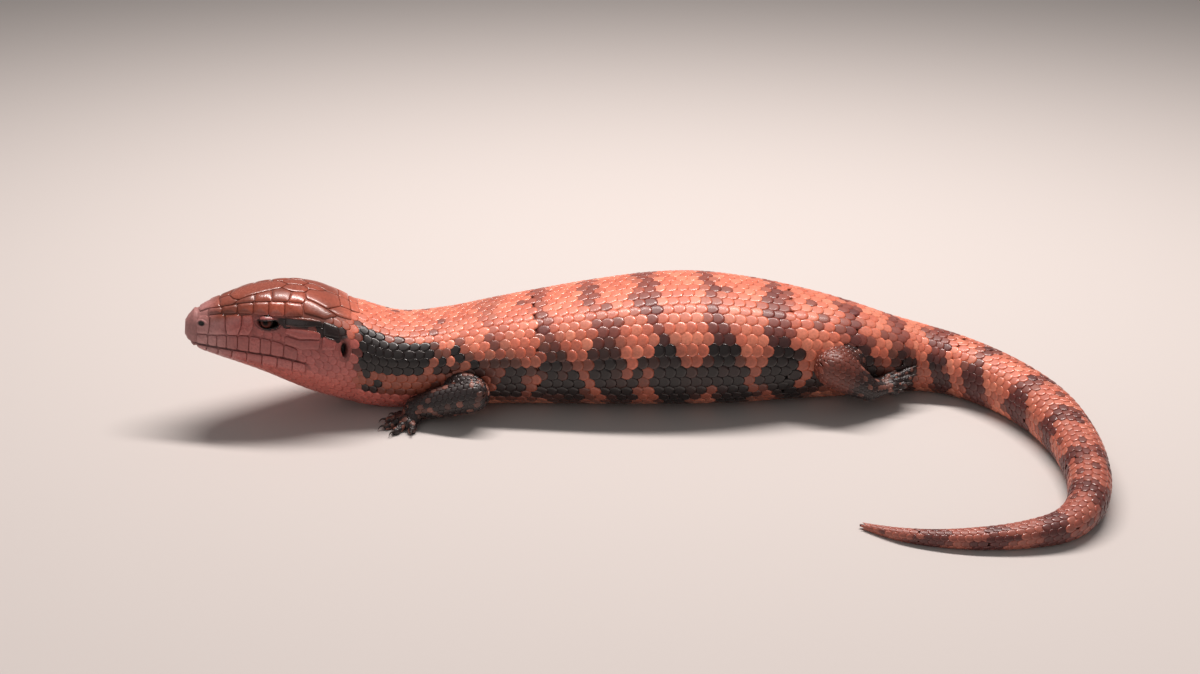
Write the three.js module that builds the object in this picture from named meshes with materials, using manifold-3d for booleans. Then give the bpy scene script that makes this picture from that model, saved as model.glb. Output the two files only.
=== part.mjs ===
// A blue tongued skink at life size, resting on a flat floor with its head raised and its tail curled
// forward. Millimetres, +Z up. The snout points to -X, the animal's left side faces -Y, and the belly and
// soles lie at z = 0.
import * as THREE from "three";
import { mergeVertices } from "three/addons/utils/BufferGeometryUtils.js";
import Module from "manifold-3d";

const wasm = await Module();
wasm.setup();

// Driving dimensions, in mm.
const GAP = 0.3; // clearance between neighbouring pieces
const UP = new THREE.Vector3(0, 0, 1);

// The head: its snout tip at the level of the mouth line, and the way it points.
const SNOUT = new THREE.Vector3(-175.8, -82.4, 39.3);
const HEAD_YAW = THREE.MathUtils.degToRad(13.8);
const HEAD_PITCH = THREE.MathUtils.degToRad(8.1);
const HEAD_LENGTH = 72; // snout tip to the first neck section
const MOUTH_CORNER = 50; // from the snout tip
const JAW_ANGLE = 62; // the back of the lower jaw, from the snout tip

// Head sections. a: from the snout tip; w: half width; t and b: height above and depth below the level of
// the greatest width; lift: that level above the mouth line; et and eb: how square the upper and the lower
// half are (2 is an ellipse).
const HEAD_SECTIONS = [
  { a: 0, w: 3, t: 3.2, b: 2.6, lift: 3.8, et: 2, eb: 2 },
  { a: 1.2, w: 5.4, t: 7, b: 2.2, lift: 2, et: 2.2, eb: 2 },
  { a: 3.5, w: 7.6, t: 11.4, b: 3, lift: 0.5, et: 2.4, eb: 2 },
  { a: 8, w: 9.8, t: 14.6, b: 5.4, lift: 0, et: 2.6, eb: 2.1 },
  { a: 15, w: 12.3, t: 18, b: 7.8, lift: 0, et: 2.8, eb: 2.1 },
  { a: 24, w: 15.2, t: 21.8, b: 10.4, lift: 0, et: 2.9, eb: 2.2 },
  { a: 33, w: 18, t: 24, b: 13.6, lift: 0, et: 2.9, eb: 2.2 },
  { a: 43, w: 21, t: 25, b: 17.8, lift: 0, et: 2.7, eb: 2.2 },
  { a: 53, w: 23.8, t: 23.8, b: 21.6, lift: 0, et: 2.5, eb: 2.2 },
  { a: 62, w: 24.8, t: 20.6, b: 24.4, lift: 0, et: 2.3, eb: 2.2 },
  { a: 72, w: 23.8, t: 16.6, b: 27, lift: 0, et: 2.2, eb: 2.3 },
];
const EYE = { a: 33, c: 13.8, radius: 4.5, inset: 3.6, lid: 0.9, opening: [4, 2.3] };
const NOSTRIL = { a: 6.6, c: 8.8, radius: 1.1 };
const EAR = { a: 65, c: 5.5, size: [3, 2.8, 5] };

// Head shields, raised as plates. Corners of the top ones are given from the snout tip and from the middle
// line, and a shield that crosses that line has one half listed; corners of the side ones from the snout
// tip and above the mouth line. Neighbours share their corners, and each is drawn in by the width of the
// groove between them.
const SHIELD = { rise: 0.4, crown: 0.45, root: 0.9, groove: 0.32, edge: 7 };
const MIDDLE_SHIELDS = {
  frontonasal: [[4.9, 0], [5.4, 3.4], [8.6, 5.8], [12.4, 7.6], [13.6, 3.6], [13.2, 0]],
  frontal: [[17.2, 0], [18.8, 6.4], [20.8, 9.3], [24.3, 8.8], [29.3, 7.8], [34.4, 6.1], [38.2, 4.4], [41, 0]],
  interparietal: [[47.2, 0], [50, 3.4], [54.6, 2.6], [57, 0]],
};
const TOP_SHIELDS = {
  prefrontal: [
    [13.2, 0.1], [13.6, 3.6], [12.4, 7.6], [15.8, 9.3],
    [19, 10.4], [20.8, 9.3], [18.8, 6.4], [17.2, 0.1],
  ],
  supraocular_1: [[20.8, 9.3], [19, 10.4], [22.6, 12], [27.4, 13.2], [28.4, 8], [24.3, 8.8]],
  supraocular_2: [[28.4, 8], [27.4, 13.2], [34.4, 14.8], [35.4, 5.8]],
  supraocular_3: [[35.4, 5.8], [34.4, 14.8], [41, 16], [42.6, 7.2], [38.2, 4.4]],
  supraocular_4: [[42.6, 7.2], [41, 16], [47.4, 17], [48.4, 11]],
  frontoparietal: [[41, 0.1], [38.2, 4.4], [42.6, 7.2], [48, 6.8], [47.2, 0.1]],
  parietal: [
    [47.2, 0.1], [48, 6.8], [48.4, 11], [57, 14],
    [63, 9], [62.4, 0.1], [57, 0.1], [54.6, 2.6], [50, 3.4],
  ],
  postparietal: [[48.4, 11], [47.4, 17], [56, 18.4], [61.6, 15.4], [57, 14]],
  nuchal_1: [[62.4, 0.1], [63, 9], [67.4, 8.4], [67, 0.1]],
  nuchal_2: [[67, 0.1], [67.4, 8.4], [71.6, 7.8], [71.4, 0.1]],
  nuchal_3: [[63, 9], [57, 14], [61.6, 15.4], [67.6, 14.4], [67.4, 8.4]],
};
const LIP_SUTURES = [4.4, 9.1, 12.7, 16.6, 21.1, 25.7, 30.3, 34.6, 39.8, 45.4];
const LIP_HEIGHTS = [4.4, 4.9, 5.5, 6.2, 6.8, 7.4, 7.4, 7, 6, 4.6];
const LIP_FOOT = 0.55; // the lip shields end this far from the parting of the mouth
const LOWER_LIP_SUTURES = [4.6, 8.6, 13.4, 19, 25, 31.2, 37.4];
const LOWER_LIP_DEPTH = [2.2, 3.2, 4, 4.6, 5.2, 5.8, 6.2];
const SIDE_SHIELDS = {
  nasal: [[5.4, 11.6], [9, 12.4], [9.8, 10.2], [9.1, 4.9], [4.4, 4.4], [4, 8]],
  loreal_1: [
    [9, 12.4], [12.4, 13.8], [15.8, 14.2], [16, 10],
    [16.6, 6.2], [12.7, 5.5], [9.1, 4.9], [9.8, 10.2],
  ],
  loreal_2: [[15.8, 14.2], [19, 15.2], [22.6, 15.4], [22.4, 11], [21.1, 6.8], [16.6, 6.2], [16, 10]],
  preocular: [[22.6, 15.4], [26.6, 16.4], [27.4, 12], [25.7, 7.4], [21.1, 6.8], [22.4, 11]],
  temporal_1: [[39.8, 16.8], [47, 17.6], [54.6, 16.8], [55, 14.6], [47, 13.8], [40, 13.4]],
  temporal_2: [[40, 12.8], [47, 13.4], [54.6, 12.4], [54.4, 9.6], [46, 9], [40, 10.4]],
  temporal_3: [[39.8, 9.8], [46, 8.8], [54.4, 9.4], [54, 5.4], [47, 4.4], [39.8, 6]],
  temporal_4: [[55.4, 16.6], [62, 14.4], [62.6, 10.4], [55.2, 11.6]],
  temporal_5: [[55.2, 11.2], [61, 10], [60.6, 5.4], [54.8, 5.4]],
};

// Body and tail sections from the back of the head to the tail's tip. x, y, z: the level of the greatest
// width; w: half width; t: height above it; b: depth below it, cut off at the floor.
const BODY_SECTIONS = [
  { name: "nape", x: -89, y: -63.8, z: 27, w: 23, t: 11.8, b: 28.4 },
  { name: "shoulders", x: -68, y: -60, z: 24, w: 24.6, t: 15, b: 25.2 },
  { name: "chest", x: -45, y: -57, z: 23, w: 28, t: 19.4, b: 24.2 },
  { name: "ribs", x: -22, y: -54.5, z: 23, w: 32, t: 22.4, b: 24.2 },
  { name: "fore belly", x: 0, y: -53, z: 24, w: 35, t: 24.4, b: 25.3 },
  { name: "belly", x: 23, y: -52, z: 24.5, w: 36.7, t: 26.7, b: 25.8 },
  { name: "rear belly", x: 45, y: -51.5, z: 24.5, w: 36.7, t: 27.2, b: 25.8 },
  { name: "loin", x: 68, y: -51.5, z: 24, w: 34, t: 25, b: 25.2 },
  { name: "flank", x: 90, y: -52, z: 22, w: 28.5, t: 22.9, b: 23 },
  { name: "hips", x: 110, y: -52, z: 19, w: 23.5, t: 20.8, b: 20 },
  { name: "vent", x: 127, y: -51, z: 16, w: 19.4, t: 18, b: 17 },
  { name: "tail root", x: 144, y: -50.5, z: 13.6, w: 16, t: 15.2, b: 14.4 },
  { name: "tail", x: 162, y: -57, z: 12.2, w: 13.7, t: 13.2, b: 12.9 },
  { name: "tail", x: 179, y: -74, z: 11.2, w: 12.2, t: 12, b: 11.8 },
  { name: "tail", x: 190, y: -96, z: 10.3, w: 11.3, t: 10.9, b: 10.7 },
  { name: "tail", x: 193.8, y: -121, z: 9, w: 9.7, t: 9.4, b: 9.3 },
  { name: "tail", x: 191.5, y: -145, z: 7.8, w: 8.4, t: 8.1, b: 8.1 },
  { name: "tail", x: 184.5, y: -164, z: 6.7, w: 7.2, t: 6.9, b: 7 },
  { name: "tail", x: 173, y: -176, z: 5.6, w: 6.1, t: 5.7, b: 5.9 },
  { name: "tail", x: 158, y: -181, z: 4.7, w: 5.1, t: 4.8, b: 5 },
  { name: "tail", x: 142, y: -182.5, z: 3.9, w: 4.3, t: 4, b: 4.2 },
  { name: "tail", x: 126, y: -181.5, z: 3.1, w: 3.4, t: 3.2, b: 3.4 },
  { name: "tail", x: 111, y: -177.5, z: 2.3, w: 2.5, t: 2.3, b: 2.5 },
  { name: "tail tip", x: 98, y: -170, z: 1.3, w: 1.2, t: 1.1, b: 1.3 },
];
const BODY_SQUARE = { et: 2.15, eb: 2.35 };

// Where the trunk and tail are parted, in sections from the back of the head (0), and the corners round
// each.
const BODY_NODES = [
  ["neck", 0, 1.7, 28],
  ["chest", 1.7, 3.2, 28],
  ["torso_front", 3.2, 5.2, 30],
  ["torso_middle", 5.2, 7.3, 30],
  ["torso_rear", 7.3, 9.3, 28],
  ["pelvis", 9.3, 11.1, 26],
  ["tail_1", 11.1, 12.8, 22],
  ["tail_2", 12.8, 14.2, 20],
  ["tail_3", 14.2, 15.6, 18],
  ["tail_4", 15.6, 17, 18],
  ["tail_5", 17, 18.2, 16],
  ["tail_6", 18.2, 19.6, 14],
  ["tail_7", 19.6, 21.2, 12],
  ["tail_8", 21.2, 24, 10],
];
const RING_STEP = 7; // along the body
const HEAD_CORNERS = 30;
const HEAD_RING_STEP = 4.4;
const SNOUT_RINGS = [0, 0.5, 1.2, 2.2]; // closer together round the snout's tip
const SNOUT_END = 3.5; // where the even rings of the head begin

// Legs. Joints run from inside the body to the wrist or ankle; radii are given at each. A paw points along
// its heading, in degrees from +X towards +Y, with its wrist or ankle a set height above the sole. The
// foot that rests against the tail is tipped up at the toes and rolled to turn its sole to the tail. Each
// digit turns off the heading, in degrees, and has a length without its claw.
const LEGS = {
  arm_left: {
    joints: [[-67, -68, 15.5], [-54, -89.5, 14.5], [-79, -87, 7]],
    radii: [9, 7, 4.9],
    names: ["upper_arm_left", "forearm_left", "hand_left"],
    palm: { length: 7, halfWidth: 5.6, height: 3.6, wrist: 7, heading: 218, tip: 0, roll: 0 },
    digits: [[-64, 5.2], [-36, 7.6], [-10, 9.2], [18, 9], [54, 6]],
  },
  arm_right: {
    joints: [[-68, -53, 15.5], [-57, -26, 14.5], [-81, -22, 7]],
    radii: [9, 7, 4.9],
    names: ["upper_arm_right", "forearm_right", "hand_right"],
    palm: { length: 7, halfWidth: 5.6, height: 3.6, wrist: 7, heading: 150, tip: 0, roll: 0 },
    digits: [[64, 5.2], [36, 7.6], [10, 9.2], [-18, 9], [-54, 6]],
  },
  leg_left: {
    joints: [[113, -60, 17.5], [101, -80.5, 23], [117, -80, 12.5]],
    radii: [11, 8, 5],
    names: ["thigh_left", "shank_left", "foot_left"],
    palm: { length: 11, halfWidth: 5.4, height: 3.4, wrist: 6, heading: 19, tip: 15, roll: 32 },
    digits: [[-30, 5.5], [-15, 9.5], [-4, 13], [6, 15.5], [19, 9]],
  },
  leg_right: {
    joints: [[113, -44, 17.5], [101, -22, 21], [120, -17, 7]],
    radii: [11, 8, 5],
    names: ["thigh_right", "shank_right", "foot_right"],
    palm: { length: 11, halfWidth: 5.4, height: 3.4, wrist: 7, heading: 10, tip: 0, roll: 0 },
    digits: [[56, 5.5], [32, 9], [12, 13], [-4, 15], [-28, 8]],
  },
};
// A toe's radii from its root to its end, and a claw's from its root to its point.
const TOE = { radii: [1.9, 1.9, 1.75, 1.5, 0.9], root: -3, rootHeight: 2.8, corners: 6 };
const CLAW = { length: 3.2, radii: [0.85, 0.85, 0.5, 0.2], root: 1.6, corners: 4 };
const SOLE_CUT = 0.4; // how far the round toes and palms are cut flat where they meet the floor
const PALM_CORNERS = 12;
const LIMB_CORNERS = 14;
const SWELL = { upper: 0.08, lower: 0.1 }; // how much a limb segment swells in its middle, of its radius

// The head's own axes: back from the snout, to the animal's left, and up from the mouth line.
const headBack = new THREE.Vector3(
  Math.cos(HEAD_YAW) * Math.cos(HEAD_PITCH),
  Math.sin(HEAD_YAW) * Math.cos(HEAD_PITCH),
  -Math.sin(HEAD_PITCH),
);
const headLeft = new THREE.Vector3().crossVectors(headBack, UP).normalize();
const headUp = new THREE.Vector3().crossVectors(headLeft, headBack).normalize();
const headPoint = (a, b, c) =>
  SNOUT.clone().addScaledVector(headBack, a).addScaledVector(headLeft, b).addScaledVector(headUp, c);

// A smooth value through four neighbours, u of the way from the second to the third.
function smooth(p0, p1, p2, p3, u) {
  const v0 = (p2 - p0) / 2;
  const v1 = (p3 - p1) / 2;
  return (2 * (p1 - p2) + v0 + v1) * u ** 3 + (3 * (p2 - p1) - 2 * v0 - v1) * u ** 2 + v0 * u + p1;
}

// Every named value of a table of sections at place s, counted in rows.
function between(rows, s, keys) {
  const i = Math.min(Math.max(Math.floor(s), 0), rows.length - 2);
  const row = (k) => rows[Math.min(Math.max(k, 0), rows.length - 1)];
  const out = {};
  for (const key of keys)
    out[key] = smooth(row(i - 1)[key], row(i)[key], row(i + 1)[key], row(i + 2)[key], s - i);
  return out;
}

// One closed cross-section, from the top round the left side. The lower half is cut off at the floor.
function ring({ centre, left, up, w, t, b, et, eb }, corners, grow = 0) {
  const points = [];
  for (let k = 0; k < corners; k++) {
    const angle = (2 * Math.PI * k) / corners;
    const c = Math.cos(angle);
    const s = Math.sin(angle);
    const power = 2 / (c > 0 ? et : eb);
    const side = Math.sign(s) * Math.abs(s) ** power * (w + grow);
    const rise = Math.sign(c) * Math.abs(c) ** power * ((c > 0 ? t : b) + grow);
    const p = centre.clone().addScaledVector(left, side).addScaledVector(up, rise);
    p.z = Math.max(p.z, grow > 0 ? -grow : 0);
    points.push(p);
  }
  return points;
}

// A closed skin over a row of rings that all have the same number of corners.
function loft(rings) {
  const corners = rings[0].length;
  const at = rings.flatMap((r) => r.flatMap((p) => [p.x, p.y, p.z]));
  const middle = (r) => r.reduce((sum, p) => sum.add(p), new THREE.Vector3()).divideScalar(corners);
  for (const r of [rings[0], rings.at(-1)]) at.push(...middle(r).toArray());
  const index = [];
  const last = rings.length - 1;
  for (let i = 0; i < last; i++)
    for (let k = 0; k < corners; k++) {
      const a = i * corners + k;
      const b = i * corners + ((k + 1) % corners);
      index.push(a, b, a + corners, b, b + corners, a + corners);
    }
  for (let k = 0; k < corners; k++) {
    const next = (k + 1) % corners;
    index.push(rings.length * corners, next, k);
    index.push(rings.length * corners + 1, last * corners + k, last * corners + next);
  }
  const geometry = new THREE.BufferGeometry();
  geometry.setAttribute("position", new THREE.Float32BufferAttribute(at, 3));
  geometry.setIndex(index);
  return solid(geometry);
}

// A three.js geometry as a solid that can be joined and cut, whichever way its faces wind.
function solid(geometry) {
  const bare = geometry.clone();
  for (const name of ["normal", "uv"]) bare.deleteAttribute(name);
  const merged = mergeVertices(bare, 1e-4);
  const build = (triVerts) =>
    new wasm.Manifold(
      new wasm.Mesh({ numProp: 3, vertProperties: merged.attributes.position.array, triVerts }),
    );
  const made = build(new Uint32Array(merged.index.array));
  return made.volume() > 0 ? made : build(new Uint32Array(merged.index.array).reverse());
}

// The largest closed body of a cut solid.
function largest(cut) {
  return cut.decompose().sort((p, q) => q.volume() - p.volume())[0];
}

function toGeometry(shape) {
  const mesh = shape.getMesh();
  const geometry = new THREE.BufferGeometry();
  const stride = mesh.numProp;
  const at = [];
  for (let i = 0; i < mesh.numVert; i++) at.push(...mesh.vertProperties.subarray(i * stride, i * stride + 3));
  geometry.setAttribute("position", new THREE.Float32BufferAttribute(at, 3));
  geometry.setIndex(Array.from(mesh.triVerts));
  return geometry;
}

const joined = (shapes) => shapes.reduce((whole, shape) => whole.add(shape));

// Head sections at any distance from the snout.
const HEAD_KEYS = ["a", "w", "t", "b", "lift", "et", "eb"];
function headSection(a) {
  let i = 0;
  while (i < HEAD_SECTIONS.length - 2 && HEAD_SECTIONS[i + 1].a < a) i++;
  const span = HEAD_SECTIONS[i + 1].a - HEAD_SECTIONS[i].a;
  const found = between(HEAD_SECTIONS, i + (a - HEAD_SECTIONS[i].a) / span, HEAD_KEYS);
  return { ...found, centre: headPoint(a, 0, found.lift), left: headLeft, up: headUp };
}

// Body sections, with the back of the head as the first row so that the neck leaves it smoothly.
const headEnd = headPoint(HEAD_LENGTH, 0, 0);
const headRow = HEAD_SECTIONS.at(-1);
const bodyRows = [
  { x: headEnd.x, y: headEnd.y, z: headEnd.z, w: headRow.w, t: headRow.t, b: headRow.b },
  ...BODY_SECTIONS,
];
const BODY_KEYS = ["x", "y", "z", "w", "t", "b"];
function bodySection(s) {
  const row = between(bodyRows, s, BODY_KEYS);
  const step = 0.02;
  const ahead = between(bodyRows, Math.min(s + step, bodyRows.length - 1), BODY_KEYS);
  const behind = between(bodyRows, Math.max(s - step, 0), BODY_KEYS);
  const back = new THREE.Vector3(ahead.x - behind.x, ahead.y - behind.y, ahead.z - behind.z).normalize();
  back.lerp(headBack, Math.max(0, 1 - s)).normalize();
  const left = new THREE.Vector3().crossVectors(back, UP).normalize();
  const up = new THREE.Vector3().crossVectors(left, back).normalize();
  return { ...row, ...BODY_SQUARE, centre: new THREE.Vector3(row.x, row.y, row.z), left, up };
}

// A length of the body between two places, shortened by half a gap at each end.
function bodyLength(from, to, corners, grow = 0) {
  const start = bodySection(from).centre;
  const end = bodySection(to).centre;
  const span = start.distanceTo(end);
  const trim = ((grow > 0 ? 0 : GAP / 2) * (to - from)) / span;
  const count = Math.max(3, Math.round(span / RING_STEP));
  const rings = [];
  for (let i = 0; i <= count; i++) {
    const s = from + trim + ((to - from - 2 * trim) * i) / count;
    rings.push(ring(bodySection(s), corners, grow));
  }
  return loft(rings);
}

// The whole head with the jaw still on it, closed at the back half a gap short of the neck.
function headWhole() {
  const rings = [];
  for (const a of SNOUT_RINGS) rings.push(ring(headSection(a), HEAD_CORNERS));
  const back = HEAD_LENGTH - GAP / 2;
  const count = Math.round((back - SNOUT_END) / HEAD_RING_STEP);
  for (let i = 0; i <= count; i++)
    rings.push(ring(headSection(SNOUT_END + ((back - SNOUT_END) * i) / count), HEAD_CORNERS));
  return loft(rings);
}

// A solid standing across the head from side to side, drawn as an outline in the head's own plane.
function acrossHead(outline, halfWidth) {
  const shape = new THREE.Shape(outline.map(([a, c]) => new THREE.Vector2(a, c)));
  const geometry = new THREE.ExtrudeGeometry(shape, { depth: 2 * halfWidth, bevelEnabled: false, steps: 1 });
  geometry.translate(0, 0, -halfWidth);
  geometry.applyMatrix4(new THREE.Matrix4().makeBasis(headBack, headUp, headLeft).setPosition(SNOUT));
  return solid(geometry);
}

// The parting between the lips, from in front of the snout to behind the jaw, as a strip one gap thick.
function mouthCut() {
  const line = [
    [-6, 0], [MOUTH_CORNER - 14, 0], [MOUTH_CORNER, -1.4], [JAW_ANGLE - 5, -5],
    [JAW_ANGLE - 1, -12], [JAW_ANGLE + 1, -22], [JAW_ANGLE + 2, -40],
  ];
  const offset = (side) =>
    line.map(([a, c], i) => {
      const [pa, pc] = line[Math.max(i - 1, 0)];
      const [na, nc] = line[Math.min(i + 1, line.length - 1)];
      const reach = Math.hypot(na - pa, nc - pc);
      return [a - (side * (nc - pc)) / reach, c + (side * (na - pa)) / reach];
    });
  return acrossHead([...offset(GAP / 2), ...offset(-GAP / 2).reverse()], 40);
}

// A ball shape of three radii in the head's axes, centred at a, b, c.
function headBall(a, b, c, [ra, rb, rc], detail = 14) {
  const geometry = new THREE.SphereGeometry(1, detail + 2, detail);
  geometry.scale(ra, rb, rc);
  const axes = new THREE.Matrix4().makeBasis(headBack, headLeft, headUp);
  geometry.applyMatrix4(axes.setPosition(headPoint(a, b, c)));
  return solid(geometry);
}

// How far the head's side lies from its middle plane at height c.
function headSide(a, c) {
  const { w, t, lift, et } = headSection(a);
  return w * (1 - ((c - lift) / t) ** et) ** (1 / et);
}

// A point on the head's skin, side being 1 for the animal's left, and the way out of the skin there.
function onHead(a, angle, side) {
  const at = (along, turn) => {
    const section = headSection(along);
    const c = Math.cos(turn);
    const s = Math.sin(turn);
    const power = 2 / (c > 0 ? section.et : section.eb);
    const rise = Math.sign(c) * Math.abs(c) ** power * (c > 0 ? section.t : section.b);
    return headPoint(along, side * s ** power * section.w, section.lift + rise);
  };
  const back = at(a + 0.05, angle).sub(at(a - 0.05, angle));
  const round = at(a, angle + 0.01).sub(at(a, angle - 0.01));
  const out = new THREE.Vector3().crossVectors(round, back).multiplyScalar(side).normalize();
  return { point: at(a, angle), out };
}

// The angle round the head, from the top, of a place given by its distance from the middle or above the
// mouth.
function angleAcross(a, b) {
  const { w, et } = headSection(a);
  return Math.asin(Math.min(b / w, 0.995) ** (et / 2));
}
function angleAbove(a, c) {
  const { t, b, lift, et, eb } = headSection(a);
  if (c > lift) return Math.acos(((c - lift) / t) ** (et / 2));
  return Math.PI - Math.acos(((lift - c) / b) ** (eb / 2));
}

// One shield as a closed plate with its root sunk in the head. Its corners are places [a, angle, side].
function shieldPlate(corners) {
  const outline = [];
  corners.forEach(([a, angle, side], i) => {
    const [nextA, nextAngle, nextSide] = corners[(i + 1) % corners.length];
    const here = onHead(a, angle, side).point;
    const steps = Math.ceil(here.distanceTo(onHead(nextA, nextAngle, nextSide).point) / SHIELD.edge);
    const signed = side * angle;
    const nextSigned = nextSide * nextAngle;
    for (let k = 0; k < steps; k++) {
      const u = k / steps;
      const turn = signed + (nextSigned - signed) * u;
      outline.push(onHead(a + (nextA - a) * u, Math.max(Math.abs(turn), 0.02), turn < 0 ? -1 : 1));
    }
  });
  const count = outline.length;
  const middle = outline.reduce((sum, { point }) => sum.add(point), new THREE.Vector3()).divideScalar(count);
  const outward = outline.reduce((sum, { out }) => sum.add(out), new THREE.Vector3()).normalize();
  const drawnIn = outline.map(({ point, out }) => {
    const inward = middle.clone().sub(point);
    inward.addScaledVector(out, -inward.dot(out)).normalize();
    return { point: point.clone().addScaledVector(inward, SHIELD.groove), out };
  });
  const lifted = (height) => drawnIn.map(({ point, out }) => point.clone().addScaledVector(out, height));
  // The middle of the plate lies as far above the corners' mean as the head's own curve does there.
  const bulge = outline.reduce((sum, { point }) => sum + outward.dot(point) - outward.dot(middle), 0) / count;
  const reach = outline.reduce((sum, { point, out }) => {
    const across = point.distanceTo(middle);
    const lean = Math.sqrt(Math.max(0, 1 - out.dot(outward) ** 2));
    return sum + (across * lean) / 2;
  }, 0) / count;
  const top = middle.clone().addScaledVector(outward, bulge + reach + SHIELD.crown);
  const bottom = middle.clone().addScaledVector(outward, -SHIELD.root);
  const at = [...lifted(SHIELD.rise), ...lifted(-SHIELD.root), top, bottom].flatMap((p) => p.toArray());
  const index = [];
  for (let k = 0; k < count; k++) {
    const next = (k + 1) % count;
    index.push(k, next, 2 * count);
    index.push(count + next, count + k, 2 * count + 1);
    index.push(k, count + k, next, next, count + k, count + next);
  }
  const geometry = new THREE.BufferGeometry();
  geometry.setAttribute("position", new THREE.Float32BufferAttribute(at, 3));
  geometry.setIndex(index);
  return solid(geometry);
}

// Every shield of the head and the jaw, on both sides.
function shields() {
  const plates = [];
  const across = (a, b, side) => [a, angleAcross(a, b), side];
  const above = (a, c, side) => [a, angleAbove(a, c), side];
  for (const half of Object.values(MIDDLE_SHIELDS)) {
    const left = half.map(([a, b]) => across(a, b, 1));
    const right = half.slice(1, -1).map(([a, b]) => across(a, b, -1));
    plates.push(shieldPlate([...left, ...right.reverse()]));
  }
  // A row of lip shields between the sutures, from one height at each suture to the foot at the mouth.
  const lipRow = (sutures, heights, foot, side) => {
    for (let i = 0; i < sutures.length - 1; i++) {
      const front = sutures[i];
      const back = sutures[i + 1];
      const corners = [[front, heights[i]], [back, heights[i + 1]], [back, foot], [front, foot]];
      plates.push(shieldPlate(corners.map(([a, c]) => above(a, c, side))));
    }
  };
  for (const side of [1, -1]) {
    for (const corners of Object.values(TOP_SHIELDS))
      plates.push(shieldPlate(corners.map(([a, b]) => across(a, b, side))));
    for (const corners of Object.values(SIDE_SHIELDS))
      plates.push(shieldPlate(corners.map(([a, c]) => above(a, c, side))));
    lipRow(LIP_SUTURES, LIP_HEIGHTS, LIP_FOOT, side);
    lipRow(LOWER_LIP_SUTURES, LOWER_LIP_DEPTH.map((depth) => -depth), -LIP_FOOT, side);
  }
  return plates;
}

// The two lids of one eye: a shell round the ball with an almond opening.
function lids(side) {
  const depth = side * (headSide(EYE.a, EYE.c) - EYE.inset);
  const shell = headBall(EYE.a, depth, EYE.c, Array(3).fill(EYE.radius + EYE.lid), 12);
  const almond = new THREE.Shape();
  const [reach, height] = EYE.opening;
  almond.moveTo(-reach, 0);
  almond.quadraticCurveTo(-0.2 * reach, 2 * height, reach, 0.25 * height);
  almond.quadraticCurveTo(0.1 * reach, -1.7 * height, -reach, 0);
  const prism = new THREE.ExtrudeGeometry(almond, { depth: 12, bevelEnabled: false, curveSegments: 7 });
  if (side < 0) prism.translate(0, 0, -12);
  const centre = headPoint(EYE.a, depth, EYE.c);
  prism.applyMatrix4(new THREE.Matrix4().makeBasis(headBack, headUp, headLeft).setPosition(centre));
  return shell.subtract(solid(prism));
}

function eyeball(side) {
  const depth = side * (headSide(EYE.a, EYE.c) - EYE.inset);
  return headBall(EYE.a, depth, EYE.c, Array(3).fill(EYE.radius), 10);
}

function socket(side) {
  const depth = side * (headSide(EYE.a, EYE.c) - EYE.inset);
  return headBall(EYE.a, depth, EYE.c, Array(3).fill(EYE.radius + GAP), 12);
}

function nostril(side) {
  const depth = side * (headSide(NOSTRIL.a, NOSTRIL.c) + 0.2);
  return headBall(NOSTRIL.a, depth, NOSTRIL.c, [1.4, 2.2, 0.9].map((r) => r * NOSTRIL.radius), 8);
}

function earCup(side) {
  const depth = side * (headSide(EAR.a, EAR.c) + 0.4);
  return headBall(EAR.a, depth, EAR.c, EAR.size, 8);
}

function headPieces() {
  const both = [1, -1];
  const whole = joined([headWhole(), ...shields(), ...both.map(lids)]);
  const hollows = both.flatMap((side) => [socket(side), nostril(side), earCup(side)]);
  const open = hollows.reduce((shape, hollow) => shape.subtract(hollow), whole);
  const parts = open.subtract(mouthCut()).decompose().sort((p, q) => q.volume() - p.volume());
  return { head: parts[0], lower_jaw: parts[1] };
}

// A round limb segment between two joints, swollen in the middle by a share of its radius.
function segment(from, to, r0, r1, swell) {
  const start = new THREE.Vector3(...from);
  const end = new THREE.Vector3(...to);
  const back = end.clone().sub(start).normalize();
  const left = new THREE.Vector3().crossVectors(back, UP).normalize();
  const up = new THREE.Vector3().crossVectors(left, back).normalize();
  const length = start.distanceTo(end);
  const stops = [-0.92, -0.6, 0];
  const rings = [];
  const add = (along, radius) => {
    const centre = start.clone().addScaledVector(back, along);
    rings.push(ring({ centre, left, up, w: radius, t: radius, b: radius, et: 2, eb: 2 }, LIMB_CORNERS));
  };
  for (const q of stops) add(q * r0, r0 * Math.sqrt(1 - q * q));
  for (const u of [0.25, 0.5, 0.75])
    add(u * length, (r0 + (r1 - r0) * u) * (1 + swell * Math.sin(Math.PI * u)));
  for (const q of [...stops].reverse()) add(length - q * r1, r1 * Math.sqrt(1 - q * q));
  return loft(rings);
}

// A tapering round rod through a few points, such as a toe.
function rod(points, radii, corners) {
  const rings = points.map((p, i) => {
    const next = points[Math.min(i + 1, points.length - 1)];
    const back = next.clone().sub(points[Math.max(i - 1, 0)]).normalize();
    const left = new THREE.Vector3().crossVectors(back, UP).normalize();
    const up = new THREE.Vector3().crossVectors(left, back).normalize();
    return ring({ centre: p, left, up, w: radii[i], t: radii[i], b: radii[i], et: 2, eb: 2 }, corners);
  });
  return loft(rings);
}

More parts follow.
